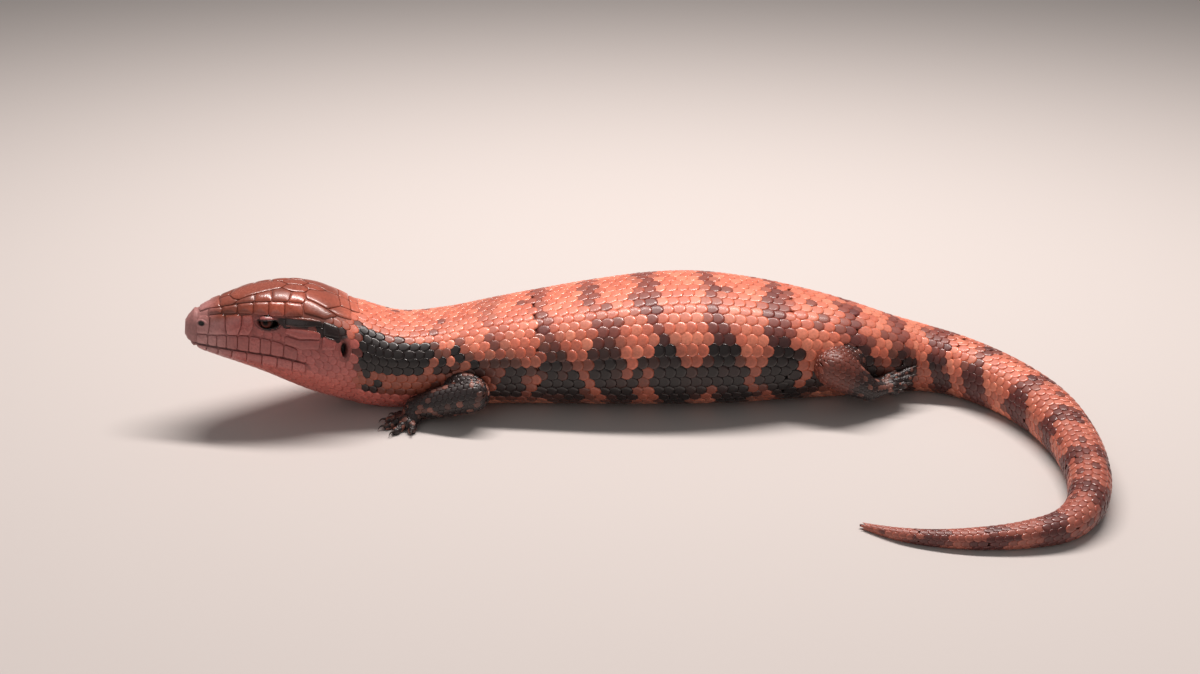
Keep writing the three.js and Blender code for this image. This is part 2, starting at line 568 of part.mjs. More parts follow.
// One toe and its claw, running along +X from the palm and lying on the floor at z = 0.
function digit(length) {
  const low = TOE.radii[3] - SOLE_CUT;
  const at = (x, z) => new THREE.Vector3(x, 0, z);
  const toePoints = [
    at(TOE.root, TOE.rootHeight),
    at(0.2 * length, low + 1.3),
    at(0.6 * length, low + 0.4),
    at(length - 0.6, low),
    at(length, low),
  ];
  const clawPoints = [
    at(length - CLAW.root, low + 0.4),
    at(length + 0.2, low + 0.8),
    at(length + 0.6 * CLAW.length, low + 0.5),
    at(length + CLAW.length, 0.3),
  ];
  return [rod(toePoints, TOE.radii, TOE.corners), rod(clawPoints, CLAW.radii, CLAW.corners)];
}

// A hand or foot: a flat palm from the wrist, and its digits fanned round the heading.
function paw({ joints, radii, palm, digits }) {
  const wrist = new THREE.Vector3(...joints.at(-1));
  const axes = { left: new THREE.Vector3(0, 1, 0), up: UP };
  const section = (x, z, w, r) =>
    ring({ centre: new THREE.Vector3(x, 0, z), ...axes, w, t: r, b: r, et: 2, eb: 2 }, PALM_CORNERS);
  const low = palm.height - SOLE_CUT;
  const r = radii.at(-1);
  const pad = loft([
    section(-0.5 * r, palm.wrist + 0.5, 0.85 * r, 0.85 * r),
    section(0.2 * r, palm.wrist * 0.85, r, 0.9 * r),
    section(palm.length * 0.6, low * 0.95, palm.halfWidth * 0.95, palm.height * 0.95),
    section(palm.length, low * 0.75, palm.halfWidth, palm.height * 0.78),
    section(palm.length + 2, low * 0.6, palm.halfWidth * 0.7, palm.height * 0.6),
  ]);
  const turned = (shape, x, y, degrees) => shape.rotate([0, 0, degrees]).translate([x, y, 0]);
  const pieces = digits.flatMap(([degrees, length]) => {
    const turn = THREE.MathUtils.degToRad(degrees);
    const x = palm.length * (0.4 + 0.45 * Math.cos(turn));
    const y = palm.halfWidth * 0.85 * Math.sin(turn);
    return digit(length).map((piece) => turned(piece, x, y, degrees));
  });
  const flat = joined([pad, ...pieces]).trimByPlane([0, 0, 1], 0).translate([0, 0, -palm.wrist]);
  return flat.rotate([palm.roll, -palm.tip, palm.heading]).translate(wrist.toArray());
}

// Cuts a solid in two by a plane through a point, leaving half a gap on each side.
function partedAt(shape, point, normal) {
  const n = normal.clone().normalize();
  const level = point.dot(n);
  const before = shape.trimByPlane(n.clone().negate().toArray(), -(level - GAP / 2));
  const after = shape.trimByPlane(n.toArray(), level + GAP / 2);
  return [before, after];
}

// A whole leg cut clear of the trunk and parted at the elbow or knee and at the wrist or ankle.
function legPieces(leg, trunk) {
  const [root, bend, wrist] = leg.joints.map((p) => new THREE.Vector3(...p));
  const down = new THREE.Vector3().subVectors(bend, root).normalize();
  const along = new THREE.Vector3().subVectors(wrist, bend).normalize();
  const turn = THREE.MathUtils.degToRad(leg.palm.heading);
  const heading = new THREE.Vector3(Math.cos(turn), Math.sin(turn), 0);
  const upper = segment(leg.joints[0], leg.joints[1], leg.radii[0], leg.radii[1], SWELL.upper);
  const lower = segment(leg.joints[1], leg.joints[2], leg.radii[1], leg.radii[2], SWELL.lower);
  const whole = paw(leg);
  const [upperPart] = partedAt(upper, bend, down.clone().add(along));
  const [, lowerStart] = partedAt(lower, bend, down.clone().add(along));
  const wristPlane = along.clone().multiplyScalar(2).add(heading);
  const [lowerPart] = partedAt(lowerStart, wrist, wristPlane);
  const [, pawPart] = partedAt(whole, wrist, wristPlane);
  const floor = (shape) => shape.trimByPlane([0, 0, 1], 0);
  const [upperName, lowerName, pawName] = leg.names;
  return {
    [upperName]: largest(floor(upperPart.subtract(trunk))),
    [lowerName]: largest(floor(lowerPart.subtract(trunk))),
    [pawName]: largest(floor(pawPart.subtract(trunk))),
  };
}

// Colours and finish of each kind of piece.
const material = (color, roughness) => new THREE.MeshStandardMaterial({ color, roughness, metalness: 0 });
const looks = {
  skin: material(0xa9835c, 0.45),
  jaw: material(0xc9ad93, 0.5),
  limb: material(0x2b2320, 0.5),
  eye: material(0x1a0f0c, 0.1),
};

const group = new THREE.Group();
function place(name, shape, look) {
  const mesh = new THREE.Mesh(toGeometry(shape), look);
  mesh.name = name;
  group.add(mesh);
}

const { head, lower_jaw: lowerJaw } = headPieces();
place("head", head, looks.skin);
place("lower_jaw", lowerJaw, looks.jaw);
place("eye_left", eyeball(1), looks.eye);
place("eye_right", eyeball(-1), looks.eye);
for (const [name, from, to, corners] of BODY_NODES) place(name, bodyLength(from, to, corners), looks.skin);

// The lengths of trunk that the arms and the legs are cut clear of, one gap larger than the body itself.
const shoulderTrunk = bodyLength(0, 5, 30, GAP);
const hipTrunk = bodyLength(8, 14, 30, GAP);
for (const [name, leg] of Object.entries(LEGS)) {
  const pieces = legPieces(leg, name.startsWith("arm") ? shoulderTrunk : hipTrunk);
  for (const [piece, shape] of Object.entries(pieces)) place(piece, shape, looks.limb);
}

// The origin is the middle of the footprint, on the floor.
const box = new THREE.Box3().setFromObject(group);
const middle = box.getCenter(new THREE.Vector3());
group.position.set(-middle.x, -middle.y, -box.min.z);

export default group;
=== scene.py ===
# %% [markdown]
# # A blue tongued skink at life size
# The lizard rests on a pale floor with its head raised and its tail curled forward. Its looks are built here
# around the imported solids, which give every place in metres. Each cell first says what a part is on the
# real animal, how it could be made and why one way was chosen.

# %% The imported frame
import math

import bpy
import numpy as np
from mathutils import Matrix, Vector
from mathutils.kdtree import KDTree


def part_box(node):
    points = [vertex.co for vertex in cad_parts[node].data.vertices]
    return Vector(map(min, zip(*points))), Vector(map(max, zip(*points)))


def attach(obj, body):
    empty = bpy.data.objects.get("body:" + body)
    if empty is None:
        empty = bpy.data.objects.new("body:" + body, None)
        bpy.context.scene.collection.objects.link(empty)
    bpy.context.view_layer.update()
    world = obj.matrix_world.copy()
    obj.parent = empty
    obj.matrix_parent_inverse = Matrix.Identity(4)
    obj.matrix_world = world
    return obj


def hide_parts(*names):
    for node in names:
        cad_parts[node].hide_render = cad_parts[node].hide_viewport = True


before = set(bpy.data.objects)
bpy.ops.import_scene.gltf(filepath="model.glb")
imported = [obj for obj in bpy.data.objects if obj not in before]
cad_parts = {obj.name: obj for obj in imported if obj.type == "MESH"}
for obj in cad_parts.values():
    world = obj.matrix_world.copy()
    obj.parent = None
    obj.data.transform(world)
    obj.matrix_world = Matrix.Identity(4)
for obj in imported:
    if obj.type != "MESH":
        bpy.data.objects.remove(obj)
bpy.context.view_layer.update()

MM = 0.001
FLESH = sorted(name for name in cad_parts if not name.startswith("eye"))


def deselect():
    """Nothing stays selected, so the next operator acts only on what it makes."""
    if bpy.context.mode != "OBJECT":
        bpy.ops.object.mode_set(mode="OBJECT")
    bpy.ops.object.select_all(action="DESELECT")


def pick(obj):
    """Makes one object the selected and active one."""
    deselect()
    obj.select_set(True)
    bpy.context.view_layer.objects.active = obj
    return obj


# %% [markdown]
# ## The camera
# The picture looks down at the animal from its left side, by about 25 degrees, from roughly 0.6 m away. A
# lens of 38.6 mm on a 36 mm sensor gives the same view, and the camera is set before anything else so that
# every later look at the model is from the right place.

# %% The camera
VIEW_WIDTH, FOCAL_PIXELS, SENSOR = 1200, 1287, 36.0
CAMERA_PLACE, CAMERA_TILT = (-0.0134, -0.4836, 0.270), math.radians(65)
deselect()
bpy.ops.object.camera_add(location=CAMERA_PLACE, rotation=(CAMERA_TILT, 0, 0))
camera = bpy.context.object
camera.name = "camera"
camera.data.sensor_width = SENSOR
camera.data.lens = SENSOR * FOCAL_PIXELS / VIEW_WIDTH
camera.data.clip_start = 0.01
bpy.context.scene.camera = camera
print("lens", round(camera.data.lens, 2))

# %% [markdown]
# ## The body's own measures
# A lizard's body is a long tube whose cross-section changes all the way. It could be sculpted, but a tube
# drawn from named sections is easier to check against the solids, so the same sections are written here:
# first the head, measured back from the snout, then the trunk and tail.

# %% Sections of the head, trunk and tail, in mm
SNOUT = np.array([-175.8, -82.4, 39.3])
HEAD_YAW, HEAD_PITCH, HEAD_LENGTH = math.radians(13.8), math.radians(8.1), 72.0
# From the snout, half width, height above and depth below the widest level, that level above the mouth, and
# how square the upper and lower halves are.
HEAD_ROWS = np.array([
    [0, 3, 3.2, 2.6, 3.8, 2, 2],
    [1.2, 5.4, 7, 2.2, 2, 2.2, 2],
    [3.5, 7.6, 11.4, 3, 0.5, 2.4, 2],
    [8, 9.8, 14.6, 5.4, 0, 2.6, 2.1],
    [15, 12.3, 18, 7.8, 0, 2.8, 2.1],
    [24, 15.2, 21.8, 10.4, 0, 2.9, 2.2],
    [33, 18, 24, 13.6, 0, 2.9, 2.2],
    [43, 21, 25, 17.8, 0, 2.7, 2.2],
    [53, 23.8, 23.8, 21.6, 0, 2.5, 2.2],
    [62, 24.8, 20.6, 24.4, 0, 2.3, 2.2],
    [72, 23.8, 16.6, 27, 0, 2.2, 2.3],
])
# Place of the middle, half width, height above and depth below it.
BODY_ROWS = np.array([
    [-89, -63.8, 27, 23, 11.8, 28.4],
    [-68, -60, 24, 24.6, 15, 25.2],
    [-45, -57, 23, 28, 19.4, 24.2],
    [-22, -54.5, 23, 32, 22.4, 24.2],
    [0, -53, 24, 35, 24.4, 25.3],
    [23, -52, 24.5, 36.7, 26.7, 25.8],
    [45, -51.5, 24.5, 36.7, 27.2, 25.8],
    [68, -51.5, 24, 34, 25, 25.2],
    [90, -52, 22, 28.5, 22.9, 23],
    [110, -52, 19, 23.5, 20.8, 20],
    [127, -51, 16, 19.4, 18, 17],
    [144, -50.5, 13.6, 16, 15.2, 14.4],
    [162, -57, 12.2, 13.7, 13.2, 12.9],
    [179, -74, 11.2, 12.2, 12, 11.8],
    [190, -96, 10.3, 11.3, 10.9, 10.7],
    [193.8, -121, 9, 9.7, 9.4, 9.3],
    [191.5, -145, 7.8, 8.4, 8.1, 8.1],
    [184.5, -164, 6.7, 7.2, 6.9, 7],
    [173, -176, 5.6, 6.1, 5.7, 5.9],
    [158, -181, 4.7, 5.1, 4.8, 5],
    [142, -182.5, 3.9, 4.3, 4, 4.2],
    [126, -181.5, 3.1, 3.4, 3.2, 3.4],
    [111, -177.5, 2.3, 2.5, 2.3, 2.5],
    [98, -170, 1.3, 1.2, 1.1, 1.3],
])
BODY_SQUARE_TOP, BODY_SQUARE_BELOW = 2.15, 2.35
UP = np.array([0.0, 0.0, 1.0])
print(len(HEAD_ROWS), "sections of the head and", len(BODY_ROWS), "of the body")

# %% [markdown]
# Between two sections the body's shape is read from a smooth curve through them, and round each section from
# a rounded outline that may be squarer than an ellipse. A place in the head is counted back from the snout,
# to the left of the middle and up from the mouth, because the head is turned and tipped against the body.

# %% Reading the sections
def unit(v):
    """Each vector at length one."""
    return v / np.maximum(np.linalg.norm(v, axis=-1, keepdims=True), 1e-9)


head_back = np.array([
    math.cos(HEAD_YAW) * math.cos(HEAD_PITCH),
    math.sin(HEAD_YAW) * math.cos(HEAD_PITCH),
    -math.sin(HEAD_PITCH),
])
head_left = unit(np.cross(head_back, UP))
head_up = unit(np.cross(head_left, head_back))


def head_point(a, b, c):
    """A place in the head: back from the snout, to the animal's left, and up from the mouth."""
    a, b, c = (np.asarray(x, float)[..., None] for x in (a, b, c))
    return SNOUT + head_back * a + head_left * b + head_up * c


def head_place(points):
    """How far back from the snout and how far up from the mouth points lie."""
    return (points - SNOUT) @ head_back, (points - SNOUT) @ head_up


def rows_at(rows, s):
    """The smooth values of a table of sections at places counted in rows."""
    s = np.clip(np.asarray(s, float), 0, len(rows) - 1)
    i = np.minimum(np.floor(s).astype(int), len(rows) - 2)
    u = (s - i)[..., None]
    row = lambda k: rows[np.clip(k, 0, len(rows) - 1)]
    p0, p1, p2, p3 = row(i - 1), row(i), row(i + 1), row(i + 2)
    v0, v1 = (p2 - p0) / 2, (p3 - p1) / 2
    return (2 * (p1 - p2) + v0 + v1) * u**3 + (3 * (p2 - p1) - 2 * v0 - v1) * u**2 + v0 * u + p1


def head_section(a):
    """The head's section at a distance from the snout: w, t, b, lift, square above, square below."""
    return rows_at(HEAD_ROWS, np.interp(a, HEAD_ROWS[:, 0], np.arange(len(HEAD_ROWS))))[..., 1:]


def outline(turn, w, t, b, square_top, square_below):
    """How far a section's edge lies to the side and above, by the turn from the top."""
    c, s = np.cos(turn), np.sin(turn)
    power = 2 / np.where(c > 0, square_top, square_below)
    side = np.sign(s) * np.abs(s) ** power * w
    rise = np.sign(c) * np.abs(c) ** power * np.where(c > 0, t, b)
    return side, rise


def head_turn(a, c=None, b=None):
    """The turn from the top of a place on the head, by its height (c) or its distance from the middle (b)."""
    w, t, below, lift, square_top, square_below = np.moveaxis(head_section(a), -1, 0)
    if b is not None:
        return np.arcsin(np.minimum(np.abs(b) / w, 0.995) ** (square_top / 2))
    high = np.arccos(np.clip((c - lift) / t, 0, 1) ** (square_top / 2))
    low = np.pi - np.arccos(np.clip((lift - c) / below, 0, 1) ** (square_below / 2))
    return np.where(c > lift, high, low)


EYE_A, EYE_C, EYE_RADIUS, EYE_INSET = 33.0, 13.8, 4.5, 3.6
eye_side = outline(head_turn(EYE_A, c=EYE_C), *head_section(EYE_A)[[0, 1, 2, 4, 5]])[0] - EYE_INSET
low, high = (np.array(corner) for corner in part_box("eye_left"))
SHIFT = (low + high) / 2 / MM - head_point(EYE_A, eye_side, EYE_C)
print("the frame lies", SHIFT.round(2), "mm from these sections")

# %% [markdown]
# ## A hide: the surface laid out flat
# Scales, shields and markings all sit on the surface, so it helps to treat the skin like a map: one number
# runs along the body in mm, and one runs round it from the top, over the left side, from 0 to 1. A grid of
# points is worked out once, and any place on the map is read from it with the direction that points out.

# %% The hide
class Hide:
    """A tube's surface as a map of u, mm along it, and v, the share of the way round from the top."""

    def __init__(self, along, rings, columns):
        count = len(rings)
        loop = np.concatenate([rings, rings[:, :1]], axis=1)
        steps = np.linalg.norm(np.diff(loop, axis=1), axis=2)
        self.arc = np.concatenate([np.zeros((count, 1)), np.cumsum(steps, axis=1)], axis=1)
        self.girth = self.arc[:, -1].copy()
        self.arc /= self.girth[:, None]
        even = np.arange(columns) / columns
        self.points = np.stack([
            np.stack([np.interp(even, self.arc[i], loop[i, :, k]) for k in range(3)], axis=1)
            for i in range(count)
        ])
        wrapped = np.concatenate([self.points[:, -2:], self.points, self.points[:, :2]], axis=1)
        round_way = np.gradient(wrapped, axis=1)[:, 2:-2]
        long_way = np.gradient(self.points, along, axis=0)
        outward = unit(np.cross(round_way, long_way))
        away = self.points - self.points.mean(axis=1, keepdims=True)
        self.normals = outward * np.sign((outward * away).sum(axis=(1, 2)))[:, None, None]
        self.along = along
        self.columns = columns

    def _mix(self, grid, u, v):
        """The value of a grid over the map, between its rows and columns."""
        row = np.interp(u, self.along, np.arange(len(self.along)))
        i = np.minimum(row.astype(int), len(self.along) - 2)
        fu = (row - i)[..., None]
        column = np.mod(v, 1) * self.columns
        j = np.floor(column).astype(int)
        fv = (column - j)[..., None]
        j, k = j % self.columns, (j + 1) % self.columns
        near = grid[i, j] * (1 - fv) + grid[i, k] * fv
        far = grid[i + 1, j] * (1 - fv) + grid[i + 1, k] * fv
        return near * (1 - fu) + far * fu

    def at(self, u, v, lift=0.0):
        """Points at a height over the map's places, and the way out there."""
        out = unit(self._mix(self.normals, u, v))
        return self._mix(self.points, u, v) + out * np.asarray(lift, float)[..., None], out

    def girth_at(self, u):
        """The way round the tube at u, in mm."""
        return np.interp(u, self.along, self.girth)

    def v_of(self, u, turn):
        """The share of the way round for a turn from the top, in radians, at u."""
        column = np.mod(turn, 2 * np.pi) / (2 * np.pi) * (self.arc.shape[1] - 1)
        row = np.interp(u, self.along, np.arange(len(self.along)))
        i = np.minimum(row.astype(int), len(self.along) - 2)
        j = np.minimum(column.astype(int), self.arc.shape[1] - 2)
        fu, fv = row - i, column - j
        near = self.arc[i, j] * (1 - fv) + self.arc[i, j + 1] * fv
        far = self.arc[i + 1, j] * (1 - fv) + self.arc[i + 1, j + 1] * fv
        return near * (1 - fu) + far * fu


def round_turns(count):
    """Even turns round a circle, in radians."""
    return 2 * np.pi * np.arange(count) / count


# %% [markdown]
# The animal's hide is made of rings: the head's lie square to the head, and the trunk's square to its middle
# line, which bends. At the neck the rings turn smoothly from one to the other.

# %% The animal's hide
TURNS = round_turns(360)


def head_rings(a):
    """Rings of the head at distances from the snout."""
    section = head_section(a)[:, :, None]
    side, rise = outline(TURNS[None], *(section[:, k] for k in (0, 1, 2, 4, 5)))
    return head_point(a[:, None] + 0 * side, side, section[:, 3] + rise)


def trunk_rings(s):
    """Rings of the trunk and tail at places counted in sections from the back of the head."""
    first = np.concatenate([head_point(HEAD_LENGTH, 0, 0), HEAD_ROWS[-1, 1:4]])
    rows = np.vstack([first, BODY_ROWS])
    here = rows_at(rows, s)
    step = 0.02
    back = unit(rows_at(rows, s + step)[:, :3] - rows_at(rows, s - step)[:, :3])
    lean = np.clip(1 - s, 0, 1)[:, None]
    back = unit(back * (1 - lean) + head_back * lean)
    left = unit(np.cross(back, UP))
    up = unit(np.cross(left, back))
    w, t, b = (here[:, k, None] for k in (3, 4, 5))
    side, rise = outline(TURNS[None], w, t, b, BODY_SQUARE_TOP, BODY_SQUARE_BELOW)
    ring = here[:, None, :3] + left[:, None] * side[..., None] + up[:, None] * rise[..., None]
    ring[..., 2] = np.maximum(ring[..., 2], 0)
    return here[:, :3], ring


trunk_s = np.arange(0, len(BODY_ROWS) + 0.001, 0.05)
trunk_middles, trunk_ring = trunk_rings(trunk_s)
trunk_along = np.concatenate([[0], np.cumsum(np.linalg.norm(np.diff(trunk_middles, axis=0), axis=1))])
head_along = np.concatenate([np.arange(0, 3, 0.2), np.arange(3, HEAD_LENGTH - 0.3, 0.5)])
animal = Hide(
    np.concatenate([head_along, HEAD_LENGTH + trunk_along]),
    np.concatenate([head_rings(head_along), trunk_ring]),
    columns=288,
)
LENGTH = animal.along[-1]
print("snout to tail tip", round(LENGTH), "mm; greatest girth", round(animal.girth.max()), "mm")

# %% [markdown]
# ## Markings
# Dark cross bands lie over a copper back, slant backwards down the sides and run together into a nearly black
# lower flank. A black streak runs from the eye over the ear to the shoulder. Skin and scales ask the same
# function for their colour, so both carry the same markings. It answers for a place on the map.

# %% Colours, and where each band lies
def rgb(r, g, b):
    """A colour as seen on a screen, from 0 to 255, as the linear colour that Blender mixes."""
    c = np.array([r, g, b]) / 255
    return np.where(c <= 0.04045, c / 12.92, ((c + 0.055) / 1.055) ** 2.4)


COPPER, COPPER_PALE = rgb(222, 120, 94), rgb(242, 158, 128)
COPPER_DEEP = rgb(178, 88, 66)
BAND, BLACK = rgb(112, 54, 50), rgb(24, 15, 15)
FLANK_BROWN = rgb(158, 84, 64)
BELLY = rgb(196, 124, 100)
THROAT, CHEEK = rgb(200, 106, 95), rgb(178, 96, 91)
# The snout's grey is partly its own colour and partly a painted highlight at the snout's tip.
SNOUT_GREY_AND_SHEEN, BRONZE = rgb(192, 134, 131), rgb(132, 68, 52)
LIMB_BLACK, LIMB_FLECK, KNEE = rgb(34, 22, 22), rgb(164, 104, 88), rgb(128, 64, 50)
TAIL_DARK = rgb(130, 70, 62)

# The middle of each dark band, in mm back from the head along the trunk, and how strong it is.
BANDS = [(58, 0.45), (80, 0.85), (104, 0.9), (128, 1), (155, 1), (181, 1), (215, 1), (237, 0.95),
         (261, 1), (284, 1), (313, 1), (338, 1), (364, 1), (388, 1), (413, 1), (436, 1), (458, 1)]
print("bands", len(BANDS))

# %% [markdown]
# Nothing on an animal has a ruled edge. A noise texture could break the edges up, but skin and scales need
# the same answer at the same place, so a sum of a few waves does it, and a smooth step softens each edge.

# %% Waves and soft edges
def waves(u, v, scale, seed):
    """Smooth unevenness from -1 to 1 that repeats exactly once round the body."""
    total = 0.0
    for k in range(5):
        around = 1 + (k * 3 + seed) % 6
        pace = (0.7 + 0.37 * k + 0.11 * seed) / scale
        total = total + np.sin(u * pace + 2 * np.pi * around * v + 1.7 * k + 2.3 * seed)
    return total / 3.2


def fade(x, start, end):
    """0 before start, 1 after end, smooth between."""
    t = np.clip((x - start) / (end - start), 0, 1)
    return t * t * (3 - 2 * t)


def mix(first, second, share):
    """The first colour at share 0, the second at 1."""
    return first + (second - first) * np.asarray(share)[..., None]


print("waves at the shoulder", waves(100.0, np.linspace(0, 0.9, 4), 9, 1).round(2))

# %% [markdown]
# The trunk is painted from its ground colours to its markings: copper, the paler belly, the bands, the black
# flank, and last the neck with its stripe. A number called luck differs from scale to scale, so that each
# scale has a tone of its own and the markings end along the edges of scales, as on the real skin.

# %% Paint of the trunk and tail
def trunk_paint(u, v, luck):
    """The colour of the trunk or tail at a place. luck, from 0 to 1, differs from scale to scale."""
    d = u - HEAD_LENGTH
    side = np.minimum(np.mod(v, 1), 1 - np.mod(v, 1)) * 2  # 0 at the top, 1 under the belly
    tail = fade(d, 235, 300)
    rough = waves(u, v, 9, 1)
    colour = mix(COPPER, COPPER_DEEP, np.clip(0.25 + 0.5 * waves(u, v, 30, 2) + 0.5 * (luck - 0.5), 0, 1))
    colour = mix(colour, COPPER_PALE, np.clip(luck * 0.7 - 0.15, 0, 1))
    colour = mix(colour, TAIL_DARK, 0.75 * fade(d, 250, 420))
    colour = mix(colour, FLANK_BROWN, fade(side + 0.05 * rough, 0.36, 0.5) * (1 - tail))
    colour = mix(colour, BELLY, fade(side + 0.05 * rough, 0.66, 0.76) * (1 - 0.4 * tail))
    slant = 26 * np.clip(side - 0.12, 0, 0.5) ** 1.3 * (1 - 0.6 * tail)
    other_luck = np.mod(luck * 7.31, 1)
    spread = 4.4 + 3.4 * fade(side, 0.25, 0.45) + 2.2 * rough + 2.6 * (other_luck - 0.5)
    dark = 0.0
    for middle, strength in BANDS:
        off = np.abs(d - slant - middle)
        dark = np.maximum(dark, strength * (1 - fade(off, spread - 2.2, spread + 1.2)))
    edge_fade = 1 - 0.55 * fade(side, 0.72, 0.86)
    low = fade(side, 0.26, 0.42) * (1 - tail)
    dark_colour = mix(BAND, BLACK, np.clip(low + 0.25 * (luck - 0.5) + 0.35 * tail, 0, 1))
    whole = fade(side, 0.2, 0.4)
    colour = mix(colour, dark_colour, dark * edge_fade * (whole + (1 - whole) * (0.72 + 0.28 * luck)))
    # The lower flank: black, with brown patches left between the bands.
    flank = fade(side + 0.06 * waves(u, v, 6, 3) + 0.08 * (luck - 0.5), 0.41, 0.47)
    flank = flank * (1 - fade(side, 0.62, 0.74))
    unevenness = waves(u, v, 5, 4) + 0.9 * (other_luck - 0.5) - 0.55 * dark
    patchy = np.clip(0.97 - fade(unevenness, -0.2, 0.14), 0, 1)
    colour = mix(colour, BLACK, flank * patchy * (1 - fade(d, 215, 260)))
    # Single dark scales on the back, more of them low down.
    colour = mix(colour, dark_colour, (luck > 0.96 - 0.12 * side) * 0.8 * (side < 0.6))
    # Copper and plain at the neck, with the black stripe from the ear to the shoulder.
    top = 0.205 + 0.0022 * d + 0.012 * rough
    foot = 0.5 - 0.0006 * d + 0.012 * waves(u, v, 5, 5)
    ragged = side + 0.035 * (other_luck - 0.5)
    stripe = fade(ragged, top - 0.012, top + 0.012) * (1 - fade(ragged, foot - 0.012, foot + 0.012))
    ragged_end = d + 16 * waves(u, v, 8, 6) + 30 * (other_luck - 0.5)
    stripe = stripe * fade(d, -6, -3.5) * (1 - fade(ragged_end, 34, 50))
    neck_low = fade(side, foot, foot + 0.02) * (1 - fade(d, 34, 46))
    patch = mix(FLANK_BROWN, BLACK, fade(waves(u, v, 6, 7) + luck - 0.5, 0.5, 0.9))
    patch = mix(patch, THROAT, fade(side, 0.6, 0.64))
    line = fade(side, 0.575, 0.585) * (1 - fade(side, 0.6, 0.61))
    line = line * fade(d, -4, -2) * (1 - fade(d, 20, 30))
    colour = mix(colour, patch, neck_low)
    colour = mix(colour, BLACK, np.clip(stripe + line, 0, 1))
    return np.clip(colour * (0.9 + 0.2 * np.asarray(luck))[..., None], 0, 1)


print("paint on the back at mid body", trunk_paint(220.0, 0.0, 0.5).round(3))

# %% [markdown]
# The head is bronze above and pinkish grey at the snout and cheeks; the paler grey at the snout's tip is
# partly a painted highlight. The black streak behind the eye is given by the height of its upper and lower
# edge over the mouth at a few distances from the snout.

# %% Paint of the head, and of the whole animal
STREAK_TOP = ([34, 40, 54, 66], [15.6, 17.0, 16.6, 14.0])
STREAK_FOOT = ([34, 40, 52, 56, 60, 66], [14.4, 14.0, 13.6, 11.0, 9.2, 10.2])


def head_paint(u, v, luck):
    """The colour of the head at a place on the map."""
    a = np.asarray(u, float)
    v = np.mod(v, 1)
    side = np.minimum(v, 1 - v) * 2
    points, _ = animal.at(u, v)
    _, height = head_place(points)
    soft = waves(u, v, 14, 2)
    colour = mix(BRONZE, COPPER_DEEP, np.clip(0.25 + 0.4 * soft, 0, 1))
    colour = mix(colour, COPPER, 0.85 * fade(a, 57, 71))
    lower = fade(side + 0.02 * soft, 0.27, 0.36)
    cheek = mix(SNOUT_GREY_AND_SHEEN, CHEEK, fade(a, 8, 24))
    colour = mix(colour, cheek, lower)
    # The snout's tip is pinkish grey, partly its own colour and partly a painted highlight on its top
    # shields.
    colour = mix(colour, SNOUT_GREY_AND_SHEEN, (1 - fade(a, 6, 15)) * 0.9)
    colour = mix(colour, THROAT, fade(height, -2, -9) * fade(a, 4, 20))
    warm = fade(a, 56, 72) * lower
    colour = mix(colour, THROAT * 0.92, warm * 0.7)
    top, foot = np.interp(a, *STREAK_TOP), np.interp(a, *STREAK_FOOT)
    streak = fade(height, foot - 0.5, foot + 0.3) * (1 - fade(height, top - 0.3, top + 0.5))
    streak = streak * fade(a, 34.5, 37) * (1 - fade(a, 65.4, 66.4))
    colour = mix(colour, BLACK, np.clip(streak, 0, 1) * 0.97)
    nape = fade(side, 0.17, 0.2) * (1 - fade(side, 0.2, 0.23)) * fade(a, 66, 68)
    colour = mix(colour, BLACK, nape * 0.4)
    return np.clip(colour * (0.92 + 0.16 * np.asarray(luck))[..., None], 0, 1)


def paint(u, v, luck):
    """The animal's colour anywhere on its map, from snout to tail tip."""
    u, v, luck = np.broadcast_arrays(np.asarray(u, float), v, luck)
    back = fade(u, HEAD_LENGTH - 4, HEAD_LENGTH - 1)
    return mix(head_paint(np.minimum(u, HEAD_LENGTH), v, luck), trunk_paint(u, v, luck), back)


print("paint on the crown", paint(50.0, 0.0, 0.5).round(3))

# %% [markdown]
# ## Finishes
# Skink scales are smooth and glossy, like thin horn over colour. A principled shader with a painted colour,
# a fine grain in its roughness and a clear coat gives that. The colour is kept in the mesh as an attribute,
# because it follows the animal's markings and not a pattern in space.

# %% Materials
def painted(name, speck_size, detail, spread, shades):
    """A new material coloured by the mesh's own paint, with fine specks in it."""
    material = bpy.data.materials.new(name)
    material.use_nodes = True
    nodes, links = material.node_tree.nodes, material.node_tree.links
    colour = nodes.new("ShaderNodeAttribute")
    colour.attribute_name = "paint"
    place = nodes.new("ShaderNodeTexCoord")
    speck = nodes.new("ShaderNodeTexNoise")
    speck.inputs["Scale"].default_value = speck_size
    speck.inputs["Detail"].default_value = detail
    links.new(place.outputs["Object"], speck.inputs["Vector"])
    shade = nodes.new("ShaderNodeMapRange")
    shade.inputs["From Min"].default_value, shade.inputs["From Max"].default_value = spread
    shade.inputs["To Min"].default_value, shade.inputs["To Max"].default_value = shades
    links.new(speck.outputs["Fac"], shade.inputs["Value"])
    tinted = nodes.new("ShaderNodeMix")
    tinted.data_type, tinted.blend_type = "RGBA", "MULTIPLY"
    tinted.inputs["Factor"].default_value = 1
    links.new(colour.outputs["Color"], tinted.inputs["A"])
    links.new(shade.outputs["Result"], tinted.inputs["B"])
    links.new(tinted.outputs["Result"], nodes["Principled BSDF"].inputs["Base Color"])
    return material, nodes, links, nodes["Principled BSDF"], speck


GLOSS_DROP = -0.34  # how much roughness falls where the mesh's gloss is 1


